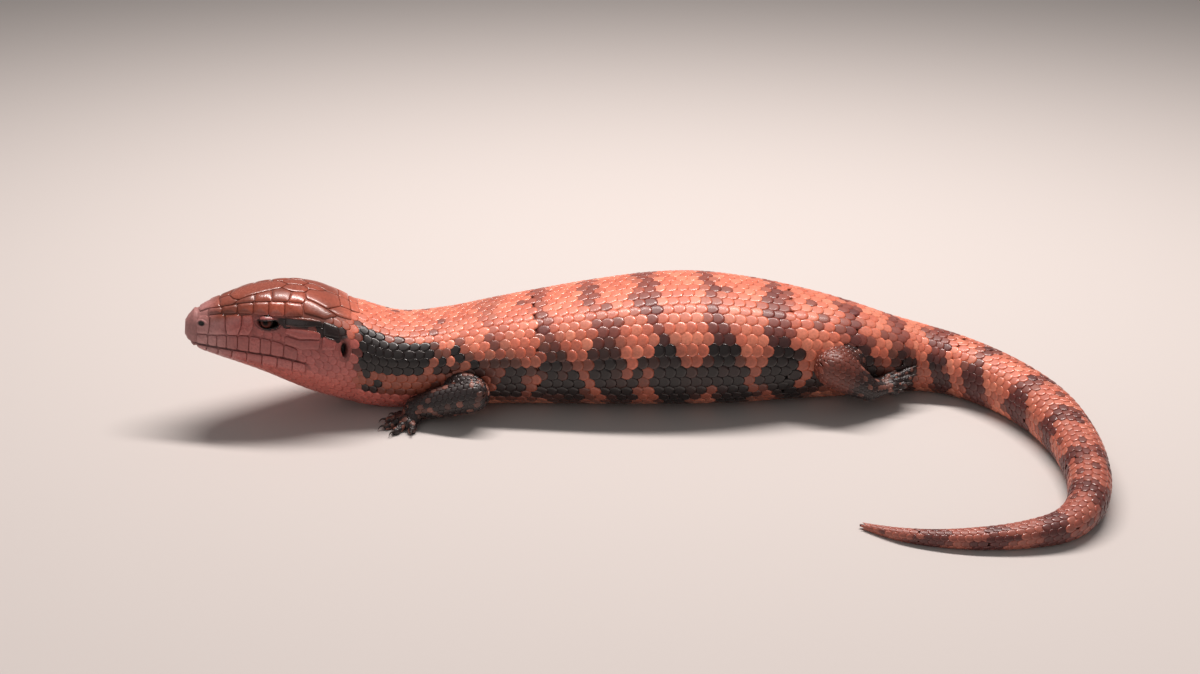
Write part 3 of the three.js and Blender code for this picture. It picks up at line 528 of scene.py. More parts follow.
def horn(name, roughness, coat, grain):
    """An uneven finish that is smoother where the mesh's gloss is high."""
    material, nodes, links, shader, speck = painted(name, 900, 4, (0.3, 0.7), (0.82, 1.12))
    shader.inputs["Coat Weight"].default_value = coat
    shader.inputs["Coat Roughness"].default_value = 0.12
    shader.inputs["Specular IOR Level"].default_value = 0.55
    rough = nodes.new("ShaderNodeMapRange")
    rough.inputs["To Min"].default_value = roughness - 0.06
    rough.inputs["To Max"].default_value = roughness + 0.1
    links.new(speck.outputs["Fac"], rough.inputs["Value"])
    gloss = nodes.new("ShaderNodeAttribute")
    gloss.attribute_name = "gloss"
    smoother = nodes.new("ShaderNodeMath")
    smoother.operation = "MULTIPLY_ADD"
    smoother.inputs[1].default_value = GLOSS_DROP
    links.new(gloss.outputs["Fac"], smoother.inputs[0])
    links.new(rough.outputs["Result"], smoother.inputs[2])
    links.new(smoother.outputs["Value"], shader.inputs["Roughness"])
    relief = nodes.new("ShaderNodeBump")
    relief.inputs["Strength"].default_value = grain
    relief.inputs["Distance"].default_value = 0.0002
    links.new(speck.outputs["Fac"], relief.inputs["Height"])
    links.new(relief.outputs["Normal"], shader.inputs["Normal"])
    return material


skin_finish = horn("skin", 0.5, 0.0, 0.5)
scale_finish = horn("scales", 0.5, 0.12, 0.25)
shield_finish = horn("head_shields", 0.44, 0.2, 0.4)
print("finishes", [finish.name for finish in (skin_finish, scale_finish, shield_finish)])

# %% [markdown]
# ## From places to a mesh
# Many pieces are worked out as arrays of points in mm. Three helpers turn them into a Blender mesh in metres
# and keep on it, point by point, the paint and the gloss that the finishes read.

# %% Meshes with paint and gloss
FLOOR_GAP = 0.00005  # no point lies nearer to the floor than this, in metres


def to_frame(points):
    """Places in mm, in the sections' own frame, as metres in the shared frame."""
    moved = (np.asarray(points) + SHIFT) * MM
    moved[..., 2] = np.maximum(moved[..., 2], FLOOR_GAP)
    return moved


def mesh_object(name, points, faces, finish, colours=None, uvs=None):
    """A mesh from corner places in metres and lists of faces, with its paint and bake map."""
    mesh = bpy.data.meshes.new(name)
    sizes = np.array([len(f) for f in faces])
    corners = np.concatenate([np.asarray(f) for f in faces])
    mesh.vertices.add(len(points))
    mesh.vertices.foreach_set("co", np.ascontiguousarray(points, np.float32).ravel())
    mesh.loops.add(len(corners))
    mesh.loops.foreach_set("vertex_index", corners.astype(np.int32))
    mesh.polygons.add(len(sizes))
    mesh.polygons.foreach_set("loop_start", np.concatenate([[0], np.cumsum(sizes)[:-1]]).astype(np.int32))
    mesh.polygons.foreach_set("loop_total", sizes.astype(np.int32))
    mesh.update(calc_edges=True)
    mesh.validate()
    mesh.shade_smooth()
    if colours is not None:
        put_paint(mesh, colours)
    if uvs is not None:
        layer = mesh.uv_layers.new(name="OFBake")
        layer.data.foreach_set("uv", uvs[corners].astype(np.float32).ravel())
    obj = bpy.data.objects.new(name, mesh)
    bpy.context.scene.collection.objects.link(obj)
    obj.data.materials.append(finish)
    return obj


def put_gloss(mesh, values):
    """Keeps how smooth the surface is at each corner point, from 0 to 1."""
    layer = mesh.attributes.new(name="gloss", type="FLOAT", domain="POINT")
    layer.data.foreach_set("value", np.ascontiguousarray(values, np.float32))


def put_paint(mesh, colours):
    """Keeps a colour for each corner point of a mesh."""
    layer = mesh.color_attributes.new(name="paint", type="FLOAT_COLOR", domain="POINT")
    full = np.ones((len(colours), 4), np.float32)
    full[:, :3] = colours
    layer.data.foreach_set("color", full.ravel())


def band(rings, around, base=0):
    """The four corners of each face between neighbouring rings of points, from a first point on."""
    for r in range(rings - 1):
        for k in range(around):
            low, high, n = base + r * around, base + (r + 1) * around, (k + 1) % around
            yield low + k, low + n, high + n, high + k


def places_of(mesh):
    """The places of a mesh's points as an array."""
    flat = np.empty(len(mesh.vertices) * 3)
    mesh.vertices.foreach_get("co", flat)
    return flat.reshape(-1, 3)


print("a band of 3 rings of 8 points has", len(list(band(3, 8))), "faces")

# %% [markdown]
# ## One scale
# A body scale of a skink is a thin rounded plate. Its front is tucked under the scales before it and its
# rounded rear edge stands free. It is modelled once: a flat disc is inset twice, which gives a flat middle
# and a rolled edge, and its rim is drawn down for thickness. The edge is glossier than the middle, so that
# light draws a fine net along the rows, as on the real animal. The disc is then squared off in front.

# %% The model scale
deselect()
bpy.ops.mesh.primitive_circle_add(vertices=14, radius=1, fill_type="NGON")
model_scale = bpy.context.object
model_scale.name = "model_scale"
bpy.ops.object.mode_set(mode="EDIT")
bpy.ops.mesh.select_mode(type="FACE")
bpy.ops.mesh.select_all(action="SELECT")
bpy.ops.mesh.inset(thickness=0.18, depth=0.82)
bpy.ops.mesh.inset(thickness=0.26, depth=0.1)
bpy.ops.mesh.poke(offset=0.06)
bpy.ops.mesh.select_all(action="SELECT")
bpy.ops.mesh.select_mode(type="EDGE")
bpy.ops.mesh.select_all(action="DESELECT")
bpy.ops.mesh.select_non_manifold()
bpy.ops.mesh.extrude_region_move(TRANSFORM_OT_translate={"value": (0, 0, -1)})
bpy.ops.transform.resize(value=(0.9, 0.9, 1))
bpy.ops.object.mode_set(mode="OBJECT")
scale_shape = np.array([v.co for v in model_scale.data.vertices])
scale_faces = [list(p.vertices) for p in model_scale.data.polygons]
# The front half is squared, the rear stays round; +X runs back along the body and +Y round it.
radius = np.linalg.norm(scale_shape[:, :2], axis=1)
bend = np.arctan2(scale_shape[:, 1], scale_shape[:, 0])
scale_edge = fade(radius, 0.52, 0.8)
square = np.where(np.cos(bend) < 0, 2.8, 2.15)
reach = (np.abs(np.cos(bend)) ** square + np.abs(np.sin(bend)) ** square) ** (-1 / square)
scale_shape[:, 0] = radius * reach * np.cos(bend)
scale_shape[:, 1] = radius * reach * np.sin(bend)
bpy.data.objects.remove(model_scale)
print("one scale has", len(scale_shape), "points and", len(scale_faces), "faces")

# %% [markdown]
# ## Laying the scales
# Scales lie in long rows, each row half a scale behind its neighbours. An array modifier with a curve could
# lay one row, but it can't bend every copy to a body that changes shape. So each copy's points are put on
# the map and lifted off it: the front edge low, the rear edge high, and the crown a little higher.

# %% The layer of scales
rng = np.random.default_rng(7)
SCALE_HALF_LENGTH, SCALE_HALF_WIDTH = 0.7, 0.68  # of the spacing along and round
MODEL_SPACING = 4  # thickness, crown and tilt are given in mm for scales this many mm apart
LEAN = 0.12  # how unevenly the scales tilt
BAKE_SPREAD = 0.0015  # half the width of one scale's or shield's place on the bake map


def scale_centres(start, end, rows, pitch):
    """Places of scales between two distances, in an even number of long rows."""
    rings = max(1, int(round((end - start) / (pitch / 2))))
    step = (end - start) / rings
    u, v = [], []
    for k in range(rings):
        places = (np.arange(rows // 2) * 2 + (k % 2) + 0.5) / rows
        u.append(np.full(rows // 2, start + (k + 0.5) * step))
        v.append(places)
    return np.concatenate(u), np.concatenate(v), 2 * step


def lay_scales(hide, zones, colour_of, keep, thick, crown, tilt, base=-0.25, jitter=0.04, edge=0.28):
    """Points, colours and bake places of the scales of a hide's zones, as arrays over the copies.

    base is the middle's height over the hide, jitter how far a scale strays, edge how strong the painted
    highlight along its rear rim is.
    """
    points, colours, uvs = [], [], []
    span = hide.along[-1] - hide.along[0]
    for start, end, rows, pitch in zones:
        u, v, real_pitch = scale_centres(start, end, rows, pitch)
        luck = rng.random(len(u))
        shift = rng.normal(0, jitter, (2, len(u)))
        lean = rng.normal(0, LEAN, (2, len(u)))
        kept = keep(u, v)
        u, v, luck, shift, lean = u[kept], v[kept], luck[kept], shift[:, kept], lean[:, kept]
        if not len(u):
            continue
        spacing = hide.girth_at(u) / rows
        half_long = real_pitch * SCALE_HALF_LENGTH
        half_wide = spacing * SCALE_HALF_WIDTH
        x, y, z = (scale_shape[None, :, k] for k in range(3))
        place_u = u[:, None] + half_long * (x + shift[0][:, None])
        place_v = v[:, None] + (half_wide / hide.girth_at(u))[:, None] * (y + shift[1][:, None])
        size = np.clip(spacing / MODEL_SPACING, 0.3, 1.15)[:, None]
        rise = np.where(z < 0, z * thick, z * crown)
        stray = 0.1 * tilt * (lean[0][:, None] * x + lean[1][:, None] * y)
        lift = base + size * (rise + tilt * x + stray)
        place, _ = hide.at(place_u, place_v, lift)
        root = colour_of(u, v, luck)[:, None, :]
        rim = scale_edge[None] * (z >= 0)
        # Painted shade on its sides and under the scale before it, and a painted highlight along its rear
        # rim.
        shade = 1 - 0.45 * (z < 0) - 0.3 * np.clip(-x - 0.25, 0, 1) + edge * rim * np.clip(x + 0.5, 0, 1)
        colours.append(np.clip(root * shade[..., None], 0, 1))
        points.append(place)
        across = np.stack([(u - hide.along[0]) / span * 0.96 + 0.02, v * 0.96 + 0.02], axis=1)
        uvs.append(across[:, None, :] + BAKE_SPREAD * np.stack([x[0], y[0]], axis=1)[None])
    return np.concatenate(points), np.concatenate(colours), np.concatenate(uvs)


def scales_object(name, layers, finish):
    """One piece from several layers of scales."""
    points, colours, uvs = (np.concatenate([layer[k] for layer in layers]) for k in range(3))
    copies, corners = points.shape[:2]
    faces = []
    for size in sorted({len(f) for f in scale_faces}):
        same = np.array([f for f in scale_faces if len(f) == size])
        faces.extend((same[None] + (np.arange(copies) * corners)[:, None, None]).reshape(-1, size))
    obj = mesh_object(name, to_frame(points.reshape(-1, 3)), faces, finish, colours.reshape(-1, 3),
                      uvs.reshape(-1, 2))
    put_gloss(obj.data, np.tile(scale_edge, copies))
    print(name, copies, "scales,", copies * sum(len(f) - 2 for f in scale_faces), "triangles")
    return obj


# %% [markdown]
# ## Legs
# A skink's legs are short and thick, with five slim toes and a claw on each. Every leg is drawn as a few
# tubes: the upper and the lower segment, a flat palm or sole, and the toes. Each tube is a hide of its own,
# so the same scales can be laid on it. The joints and radii are those of the solids.

# %% Leg measures
LEGS = {
    "arm_left": dict(joints=[[-67, -68, 15.5], [-54, -89.5, 14.5], [-79, -87, 7]], radii=[9, 7, 4.9],
                     palm=(7, 5.6, 3.6, 7), turns=(0, 0, 218),
                     digits=[[-64, 5.2], [-36, 7.6], [-10, 9.2], [18, 9], [54, 6]]),
    "arm_right": dict(joints=[[-68, -53, 15.5], [-57, -26, 14.5], [-81, -22, 7]], radii=[9, 7, 4.9],
                      palm=(7, 5.6, 3.6, 7), turns=(0, 0, 150),
                      digits=[[64, 5.2], [36, 7.6], [10, 9.2], [-18, 9], [-54, 6]]),
    "leg_left": dict(joints=[[113, -60, 17.5], [101, -80.5, 23], [117, -80, 12.5]], radii=[11, 8, 5],
                     palm=(11, 5.4, 3.4, 6), turns=(32, -15, 19),
                     digits=[[-30, 5.5], [-15, 9.5], [-4, 13], [6, 15.5], [19, 9]]),
    "leg_right": dict(joints=[[113, -44, 17.5], [101, -22, 21], [120, -17, 7]], radii=[11, 8, 5],
                      palm=(11, 5.4, 3.4, 7), turns=(0, 0, 10),
                      digits=[[56, 5.5], [32, 9], [12, 13], [-4, 15], [-28, 8]]),
}
SOLE_CUT, TOE_END_RADIUS = 0.4, 1.5
CAP_SHARES = (0.25, 0.5, 0.7, 0.85, 0.95, 0.995)  # rings of a segment's round end, as shares of its radius
LIMB_TURNS = round_turns(72)
print("legs", list(LEGS))

# %% [markdown]
# A segment is a tube with a round cap at each end, a palm is a flat one that widens to its front, and a toe
# is a thin one that dips to the floor. A tube that follows a line of middles makes all three.

# %% Tubes for the legs
def turned(x, y, z):
    """A turn about X, then Y, then Z, in degrees."""
    cx, sx, cy, sy, cz, sz = (f(math.radians(d)) for d in (x, y, z) for f in (math.cos, math.sin))
    rx = np.array([[1, 0, 0], [0, cx, -sx], [0, sx, cx]])
    ry = np.array([[cy, 0, sy], [0, 1, 0], [-sy, 0, cy]])
    rz = np.array([[cz, -sz, 0], [sz, cz, 0], [0, 0, 1]])
    return rz @ ry @ rx


def tube(middles, wide, tall, columns, step=0.6):
    """A hide round a line of middles with a half width and half height at each, closed round at both ends."""
    middles, wide, tall = (np.asarray(x, float) for x in (middles, wide, tall))
    known = np.concatenate([[0], np.cumsum(np.linalg.norm(np.diff(middles, axis=0), axis=1))])
    along = np.linspace(0, known[-1], max(6, int(known[-1] / step) + 1))
    s = np.interp(along, known, np.arange(len(known)))
    table = rows_at(np.column_stack([middles, wide, tall]), s)
    line = table[:, :3]
    back = unit(np.gradient(line, axis=0))
    left = unit(np.cross(back, UP))
    up = np.cross(left, back)
    side = np.sin(LIMB_TURNS)[None] * table[:, 3, None]
    rise = np.cos(LIMB_TURNS)[None] * table[:, 4, None]
    rings = line[:, None] + left[:, None] * side[..., None] + up[:, None] * rise[..., None]
    return Hide(along, rings, columns)


def capsule(start, end, r0, r1, swell, columns):
    """A limb segment: round at both ends and a little swollen between."""
    start, end = np.array(start, float), np.array(end, float)
    length = np.linalg.norm(end - start)
    back = (end - start) / length
    marks, radii = [], []
    for q in CAP_SHARES[::-1]:
        marks.append(-q * r0)
        radii.append(r0 * math.sqrt(1 - q * q))
    for share in np.linspace(0, 1, 7):
        marks.append(share * length)
        radii.append((r0 + (r1 - r0) * share) * (1 + swell * math.sin(math.pi * share)))
    for q in CAP_SHARES:
        marks.append(length + q * r1)
        radii.append(r1 * math.sqrt(1 - q * q))
    middles = start + back * np.array(marks)[:, None]
    return tube(middles, radii, radii, columns)


def paw_hides(leg):
    """The hides of a palm and its toes, and where each claw grows and points."""
    length, half_width, height, wrist = leg["palm"]
    turn = turned(*leg["turns"])
    root = np.array(leg["joints"][2], float)
    lay = lambda points: (np.asarray(points, float) - [0, 0, wrist]) @ turn.T + root
    r = leg["radii"][2]
    deep = height - SOLE_CUT
    # From the wrist to the toes: how far along, how high, half width and half height.
    rows = [
        (-0.75 * r, wrist + 0.4, 0.5 * r, 0.5 * r),
        (-0.5 * r, wrist + 0.3, 0.85 * r, 0.85 * r),
        (0.2 * r, wrist * 0.85, r, 0.9 * r),
        (length * 0.6, deep * 0.95, half_width * 0.95, height * 0.95),
        (length, deep * 0.8, half_width, height * 0.8),
        (length + 1.6, deep * 0.65, half_width * 0.8, height * 0.62),
        (length + 2.4, deep * 0.6, half_width * 0.4, height * 0.3),
    ]
    x, z, wide, tall = np.array(rows).T
    palm = tube(lay(np.column_stack([x, 0 * x, z])), wide, tall, 40)
    toes, claws = [], []
    low = TOE_END_RADIUS - SOLE_CUT
    for degrees, toe in leg["digits"]:
        angle = math.radians(degrees)
        foot = np.array([length * (0.4 + 0.45 * math.cos(angle)), half_width * 0.85 * math.sin(angle), 0])
        spin = turned(0, 0, degrees)
        on_toe = lambda x, z: lay(foot + spin @ np.array([x, 0, z]))
        marks = [(-3, 2.6), (0.15 * toe, low + 1.4), (0.4 * toe, low + 1.1), (0.62 * toe, low + 0.45),
                 (0.85 * toe, low + 0.2), (toe - 0.3, low), (toe + 0.3, low - 0.1)]
        widths = [1.9, 1.85, 1.9, 1.65, 1.65, 1.2, 0.5]
        toes.append(tube([on_toe(*m) for m in marks], widths, widths, 20, step=0.4))
        claw_line = [(toe - 1.2, low + 0.5), (toe + 0.6, low + 1.0), (toe + 2.1, low + 0.75),
                     (toe + 3.3, 0.35)]
        claws.append([on_toe(*m) for m in claw_line])
    return palm, toes, claws


limb_hides = {}
for name, leg in LEGS.items():
    joints, radii = leg["joints"], leg["radii"]
    palm, toes, claws = paw_hides(leg)
    limb_hides[name] = dict(
        upper=capsule(joints[0], joints[1], radii[0], radii[1], 0.08, 48),
        lower=capsule(joints[1], joints[2], radii[1], radii[2], 0.1, 48),
        palm=palm, toes=toes, claws=claws,
    )
print("legs", {name: len(parts["toes"]) for name, parts in limb_hides.items()}, "toes each")

# %% [markdown]
# Scales and skin of one part must not lie inside another. Two tests answer that: one for a segment of a leg,
# and one for the trunk, which looks up the nearest ring of the hide and the nearest point on it.

# %% What lies inside what
LEGS_REACH, RING_GAP = 330, 2.0  # how far back from the head the test looks, in rings this many mm apart
BLOCK = 4000  # points tested at a time, to save memory


def in_capsule(points, start, end, r0, r1, share):
    """True for points inside a limb segment drawn in to a share of its radius."""
    start, end = np.array(start, float), np.array(end, float)
    along = np.clip(((points - start) @ (end - start)) / ((end - start) @ (end - start)), 0, 1)
    near = start + along[..., None] * (end - start)
    return np.linalg.norm(points - near, axis=-1) < share * (r0 + (r1 - r0) * along)


def in_trunk(points, lift):
    """True for points under the trunk's surface, or less than lift above it."""
    flat = points.reshape(-1, 3)
    inside = np.zeros(len(flat), bool)
    rows = np.searchsorted(animal.along, np.arange(HEAD_LENGTH, HEAD_LENGTH + LEGS_REACH, RING_GAP))
    middles = animal.points[rows].mean(axis=1)
    for i in range(0, len(flat), BLOCK):
        part = flat[i:i + BLOCK]
        nearest = rows[np.argmin(np.linalg.norm(part[:, None] - middles[None], axis=2), axis=1)]
        ring = animal.points[nearest]
        gap = np.linalg.norm(ring - part[:, None], axis=2)
        j = np.argmin(gap, axis=1)
        k = np.arange(len(part))
        height = ((part - ring[k, j]) * animal.normals[nearest, j]).sum(axis=1)
        inside[i:i + BLOCK] = height < lift
    return inside.reshape(points.shape[:-1])


print("the trunk's middle is inside it:", bool(in_trunk(animal.points[400].mean(axis=0)[None], 0)[0]))

# %% [markdown]
# ## The skin
# Under its scales the animal has one continuous skin. A flat grid is added and wrapped round the map, its
# seam merged and its ends filled, which gives clean rings that follow the body. The legs and toes are made
# in the same way and joined to it with Boolean modifiers, so that no seam shows. Round the head the skin is
# lifted and sunk for the nostrils, ear cups, eye sockets and the corner of the mouth.

# %% Relief of the head's skin
SKIN_DEPTH, LIMB_SKIN_DEPTH, TOE_SKIN_DEPTH = 0.75, 0.45, 0.25
NOSTRIL_A, NOSTRIL_C, NOSTRIL_SIZE = 6.6, 9.0, (1.35, 0.95)
EAR_A, EAR_C, EAR_SIZE = 64.4, 5.8, (1.5, 3.4)
EYE_PIT_SIZE = (4.4, 2.3)
MOUTH_CORNER = 50.0


def mouth_height(a):
    """The height of the mouth's line at a distance from the snout: it drops towards its corner."""
    return np.interp(a, [0, 36, MOUTH_CORNER, 53], [0, 0, -1.4, -2.4])


def far_from(a, c, centre_a, centre_c, size):
    """How far a place on the head's side lies from a centre, 1 on an oval of the given half sizes."""
    return np.sqrt(((a - centre_a) / size[0]) ** 2 + ((c - centre_c) / size[1]) ** 2)


def head_relief(u, v):
    """How far the skin of the head stands over or under its even surface, in mm."""
    points, _ = animal.at(u, v)
    a, c = head_place(points)
    on_head = 1 - fade(a, 66, 72)
    relief = -0.15 * on_head - SKIN_DEPTH * (1 - on_head)
    beside = np.abs(np.abs(np.mod(v, 1) - 0.5) - 0.25) < 0.2

    def pit(centre_a, centre_c, size, depth, rim=0.0):
        far = far_from(a, c, centre_a, centre_c, size)
        return (rim * np.exp(-((far - 1.25) / 0.28) ** 2) - depth * (1 - fade(far, 0.45, 1.1))) * beside

    # The shields at the tip of the snout and chin are the skin itself, raised to the level of the rest.
    relief = relief + 0.7 * (1 - fade(a, 3.7, 4.3)) * fade(np.abs(c), 0.2, 0.7)
    relief = relief + pit(NOSTRIL_A, NOSTRIL_C, NOSTRIL_SIZE, 1.6, 0.25)
    relief = relief + pit(EAR_A, EAR_C, EAR_SIZE, 3.2, 0.35)
    relief = relief + pit(EYE_A, EYE_C, EYE_PIT_SIZE, 4.2)
    crease = np.exp(-(((c - mouth_height(a)) / 0.45) ** 2)) * (1 - fade(a, MOUTH_CORNER, MOUTH_CORNER + 3))
    relief = relief - 0.55 * crease
    # The skin folds behind the jaw and where the neck meets the head.
    fold = np.exp(-(((a - 69.5 - 0.12 * c) / 1.3) ** 2)) * fade(np.abs(np.mod(v, 1) - 0.5), 0.12, 0.2)
    relief = relief - 0.5 * fold * (c < 10)
    return np.where(u < HEAD_LENGTH, relief, -SKIN_DEPTH)


ear_v = animal.v_of(EAR_A, head_turn(EAR_A, c=EAR_C))
print("the skin at the ear lies at", head_relief(np.array([EAR_A]), ear_v).round(1), "mm")

# %% [markdown]
# The flat grid is bent round the hide by its own X and Y: X becomes the distance along and Y the way round.

# %% Wrapping a grid round a hide
def wrapped(name, hide, marks, columns, lift):
    """A grid wrapped round a hide at the given distances along it, closed at both ends."""
    deselect()
    bpy.ops.mesh.primitive_grid_add(x_subdivisions=len(marks) - 1, y_subdivisions=columns, size=2)
    obj = bpy.context.object
    obj.name = obj.data.name = name
    flat = places_of(obj.data)
    u = np.interp((flat[:, 0] + 1) / 2, np.linspace(0, 1, len(marks)), marks)
    v = np.mod((flat[:, 1] + 1) / 2, 0.9999999)
    rise = lift(u, v) if callable(lift) else np.full(len(u), float(lift))
    points, _ = hide.at(u, v, rise)
    obj.data.vertices.foreach_set("co", to_frame(points).ravel())
    bpy.ops.object.mode_set(mode="EDIT")
    bpy.ops.mesh.select_all(action="SELECT")
    bpy.ops.mesh.remove_doubles(threshold=1e-7)
    bpy.ops.mesh.fill_holes(sides=0)
    bpy.ops.mesh.select_all(action="SELECT")
    bpy.ops.mesh.normals_make_consistent(inside=False)
    bpy.ops.object.mode_set(mode="OBJECT")
    return obj


head_marks = np.concatenate([np.arange(0, 2, 0.25), np.arange(2, HEAD_LENGTH, 0.55)])
trunk_marks = np.arange(HEAD_LENGTH, LENGTH, 3.0)
skin = wrapped("skin", animal, np.concatenate([head_marks, trunk_marks, [LENGTH]]), 200, head_relief)
print("skin", len(skin.data.polygons), "faces before the legs")

# %% [markdown]
# Each segment, palm and toe gets a closed skin of its own. A union then joins them to the trunk one by one,
# which cuts away what lies inside, so that the whole skin stays one closed shell.

# %% The legs' skin, joined to the trunk's
limb_skins = []
for name, parts in limb_hides.items():
    for key in ("upper", "lower", "palm"):
        hide = parts[key]
        marks = np.linspace(0, hide.along[-1], 18)
        limb_skins.append(wrapped(f"{name}_{key}", hide, marks, 24, -LIMB_SKIN_DEPTH))
    for k, hide in enumerate(parts["toes"]):
        marks = np.linspace(0, hide.along[-1], 12)
        limb_skins.append(wrapped(f"{name}_toe_{k}", hide, marks, 12, -TOE_SKIN_DEPTH))
for part in limb_skins:
    pick(skin)
    cutter = skin.modifiers.new("leg", "BOOLEAN")
    cutter.operation, cutter.solver, cutter.object = "UNION", "MANIFOLD", part
    bpy.ops.object.modifier_apply(modifier=cutter.name)
    bpy.data.objects.remove(part)
print("skin", len(skin.data.polygons), "faces with the legs")

# %% [markdown]
# The skin's paint is the scales' own colour, darkened as painted shade, because only thin lines of skin show
# in the shade between them.
# Each of its points asks for the nearest place on the map. Points far from it belong to the legs.

# %% The skin's paint
# The size of the painted shade in each eye socket.
EYE_SOCKET_SHADE_SIZE = (4.6, 2.1)
grid = to_frame(animal.points.reshape(-1, 3))
tree = KDTree(len(grid))
for i, place in enumerate(grid):
    tree.insert(place, i)
tree.balance()
spots = places_of(skin.data)
found = [tree.find(p)[1:] for p in spots]
nearest, distance = np.array([f[0] for f in found]), np.array([f[1] for f in found]) / MM
skin_u, skin_v = animal.along[nearest // animal.columns], (nearest % animal.columns) / animal.columns
colours = paint(skin_u, skin_v, 0.5)
# Painted shade for the skin in the gaps between scales, with less of it on the head.
colours = colours * (0.42 + 0.4 * (1 - fade(skin_u, 60, 70)))[:, None]  # less darkened on the head
skin_a, skin_c = head_place(spots / MM - SHIFT)
# Painted shade in the crease along the mouth.
mouth_crease_shade = np.exp(-(((skin_c - mouth_height(skin_a)) / 0.6) ** 2)) * (skin_a < MOUTH_CORNER + 2)
colours = colours * (1 - 0.62 * mouth_crease_shade)[:, None]
# Painted shade in the nostrils, the ear openings and the eye sockets.
for centre_a, centre_c, size, strength in (
    (NOSTRIL_A, NOSTRIL_C, NOSTRIL_SIZE, 0.85),
    (EAR_A, EAR_C, EAR_SIZE, 0.8),
    (EYE_A, EYE_C, EYE_SOCKET_SHADE_SIZE, 0.93),
):
    shade = 1 - strength * (1 - fade(far_from(skin_a, skin_c, centre_a, centre_c, size), 0.7, 1.15))
    colours = colours * np.where(skin_u < HEAD_LENGTH, shade, 1)[:, None]
leg_share = fade(distance, 1.2, 2.0)
# On the legs the skin takes the legs' black, darkened further as painted shade between their scales.
colours = mix(colours, LIMB_BLACK * 0.7, leg_share)
put_paint(skin.data, np.clip(colours, 0, 1))
skin.data.materials.clear()
skin.data.materials.append(skin_finish)
pick(skin)
bpy.ops.object.shade_smooth()
print("skin painted,", int((leg_share > 0.5).sum()), "points on the legs")

# %% [markdown]
# ## Head shields
# A skink's head is cased in large flat shields that meet at thin dark lines. They could be grooves in the
# skin, but a groove needs a very fine mesh to look sharp. Here each shield is a plate of its own: its
# outline is drawn on the map, rounded at the corners, and filled with rings that rise to a low crown.

# %% Outlines of the shields
# Each corner is a distance from the snout and one from the middle line. Shields over the middle line have
# their left half listed.
MIDDLE_SHIELDS = {
    "frontonasal": [[4.9, 0], [5.4, 3.4], [8.8, 4.2], [13.6, 6.4], [13.6, 3.6], [13.2, 0]],
    "frontal": [[17.2, 0], [18.8, 4.6], [21, 6.8], [24.3, 6.6], [29.3, 6], [34.6, 4.9], [38.2, 3.8], [41, 0]],
    "interparietal": [[47.2, 0], [50, 3.4], [54.6, 2.6], [57, 0]],
}
TOP_SHIELDS = {
    "prefrontal": [[13.2, 0], [13.6, 3.6], [13.6, 6.4], [19, 8], [21, 6.8], [18.8, 4.6], [17.2, 0]],
    "supraocular_1": [[21, 6.8], [19, 8], [23, 9.2], [27.4, 10.4], [27.8, 6.2], [24.3, 6.6]],
    "supraocular_2": [[27.8, 6.2], [27.4, 10.4], [34.4, 11.8], [34.6, 4.9], [29.3, 6]],
    "supraocular_3": [[34.6, 4.9], [34.4, 11.8], [41, 12.9], [42.6, 7.2], [38.2, 3.8]],
    "supraocular_4": [[42.6, 7.2], [41, 12.9], [47, 13.6], [48.4, 11], [48, 6.8]],
    "frontoparietal": [[41, 0], [38.2, 3.8], [42.6, 7.2], [48, 6.8], [50, 3.4], [47.2, 0]],
    "parietal": [[48, 6.8], [48.4, 11], [57, 14], [63, 9], [62.4, 0], [57, 0], [54.6, 2.6], [50, 3.4]],
    "postparietal": [[48.4, 11], [47, 13.6], [47.4, 17], [56, 18.4], [61.6, 15.4], [57, 14]],
    "nuchal_1": [[62.4, 0], [63, 9], [67.4, 8.4], [67, 0]],
    "nuchal_2": [[67, 0], [67.4, 8.4], [71.6, 7.8], [71.4, 0]],
    "nuchal_3": [[63, 9], [57, 14], [61.6, 15.4], [67.6, 14.4], [67.4, 8.4]],
}
# Each corner is a distance from the snout and a height over the mouth.
SIDE_SHIELDS = {
    "nasal": [[5.4, 11.6], [9, 12.4], [9.8, 10.2], [9.1, 4.9], [4.4, 4.4], [4, 8]],
    "loreal_1": [[9, 12.4], [12.4, 13.8], [15.8, 14.2], [16, 10], [16.6, 6.2], [12.7, 5.5], [9.1, 4.9],
                 [9.8, 10.2]],
    "loreal_2": [[15.8, 14.2], [19, 15.2], [22.6, 15.4], [22.4, 11], [21.1, 6.8], [16.6, 6.2], [16, 10]],
    "preocular": [[22.6, 15.4], [26.6, 16.4], [27.4, 12], [25.7, 7.4], [21.1, 6.8], [22.4, 11]],
    "temporal_1": [[39.8, 16.8], [47, 17.6], [54.6, 16.8], [55, 14.6], [47, 13.8], [40, 13.4]],
    "temporal_2": [[40, 12.8], [47, 13.4], [54.6, 12.4], [54.4, 9.6], [46, 9], [40, 10.4]],
    "temporal_3": [[39.8, 9.8], [46, 8.8], [54.4, 9.4], [54, 5.4], [47, 4.4], [39.8, 6]],
    "temporal_4": [[55.4, 16.6], [62, 14.4], [62.6, 10.4], [55.2, 11.6]],
    "temporal_5": [[55.2, 11.2], [61, 10], [60.6, 5.4], [54.8, 5.4]],
}
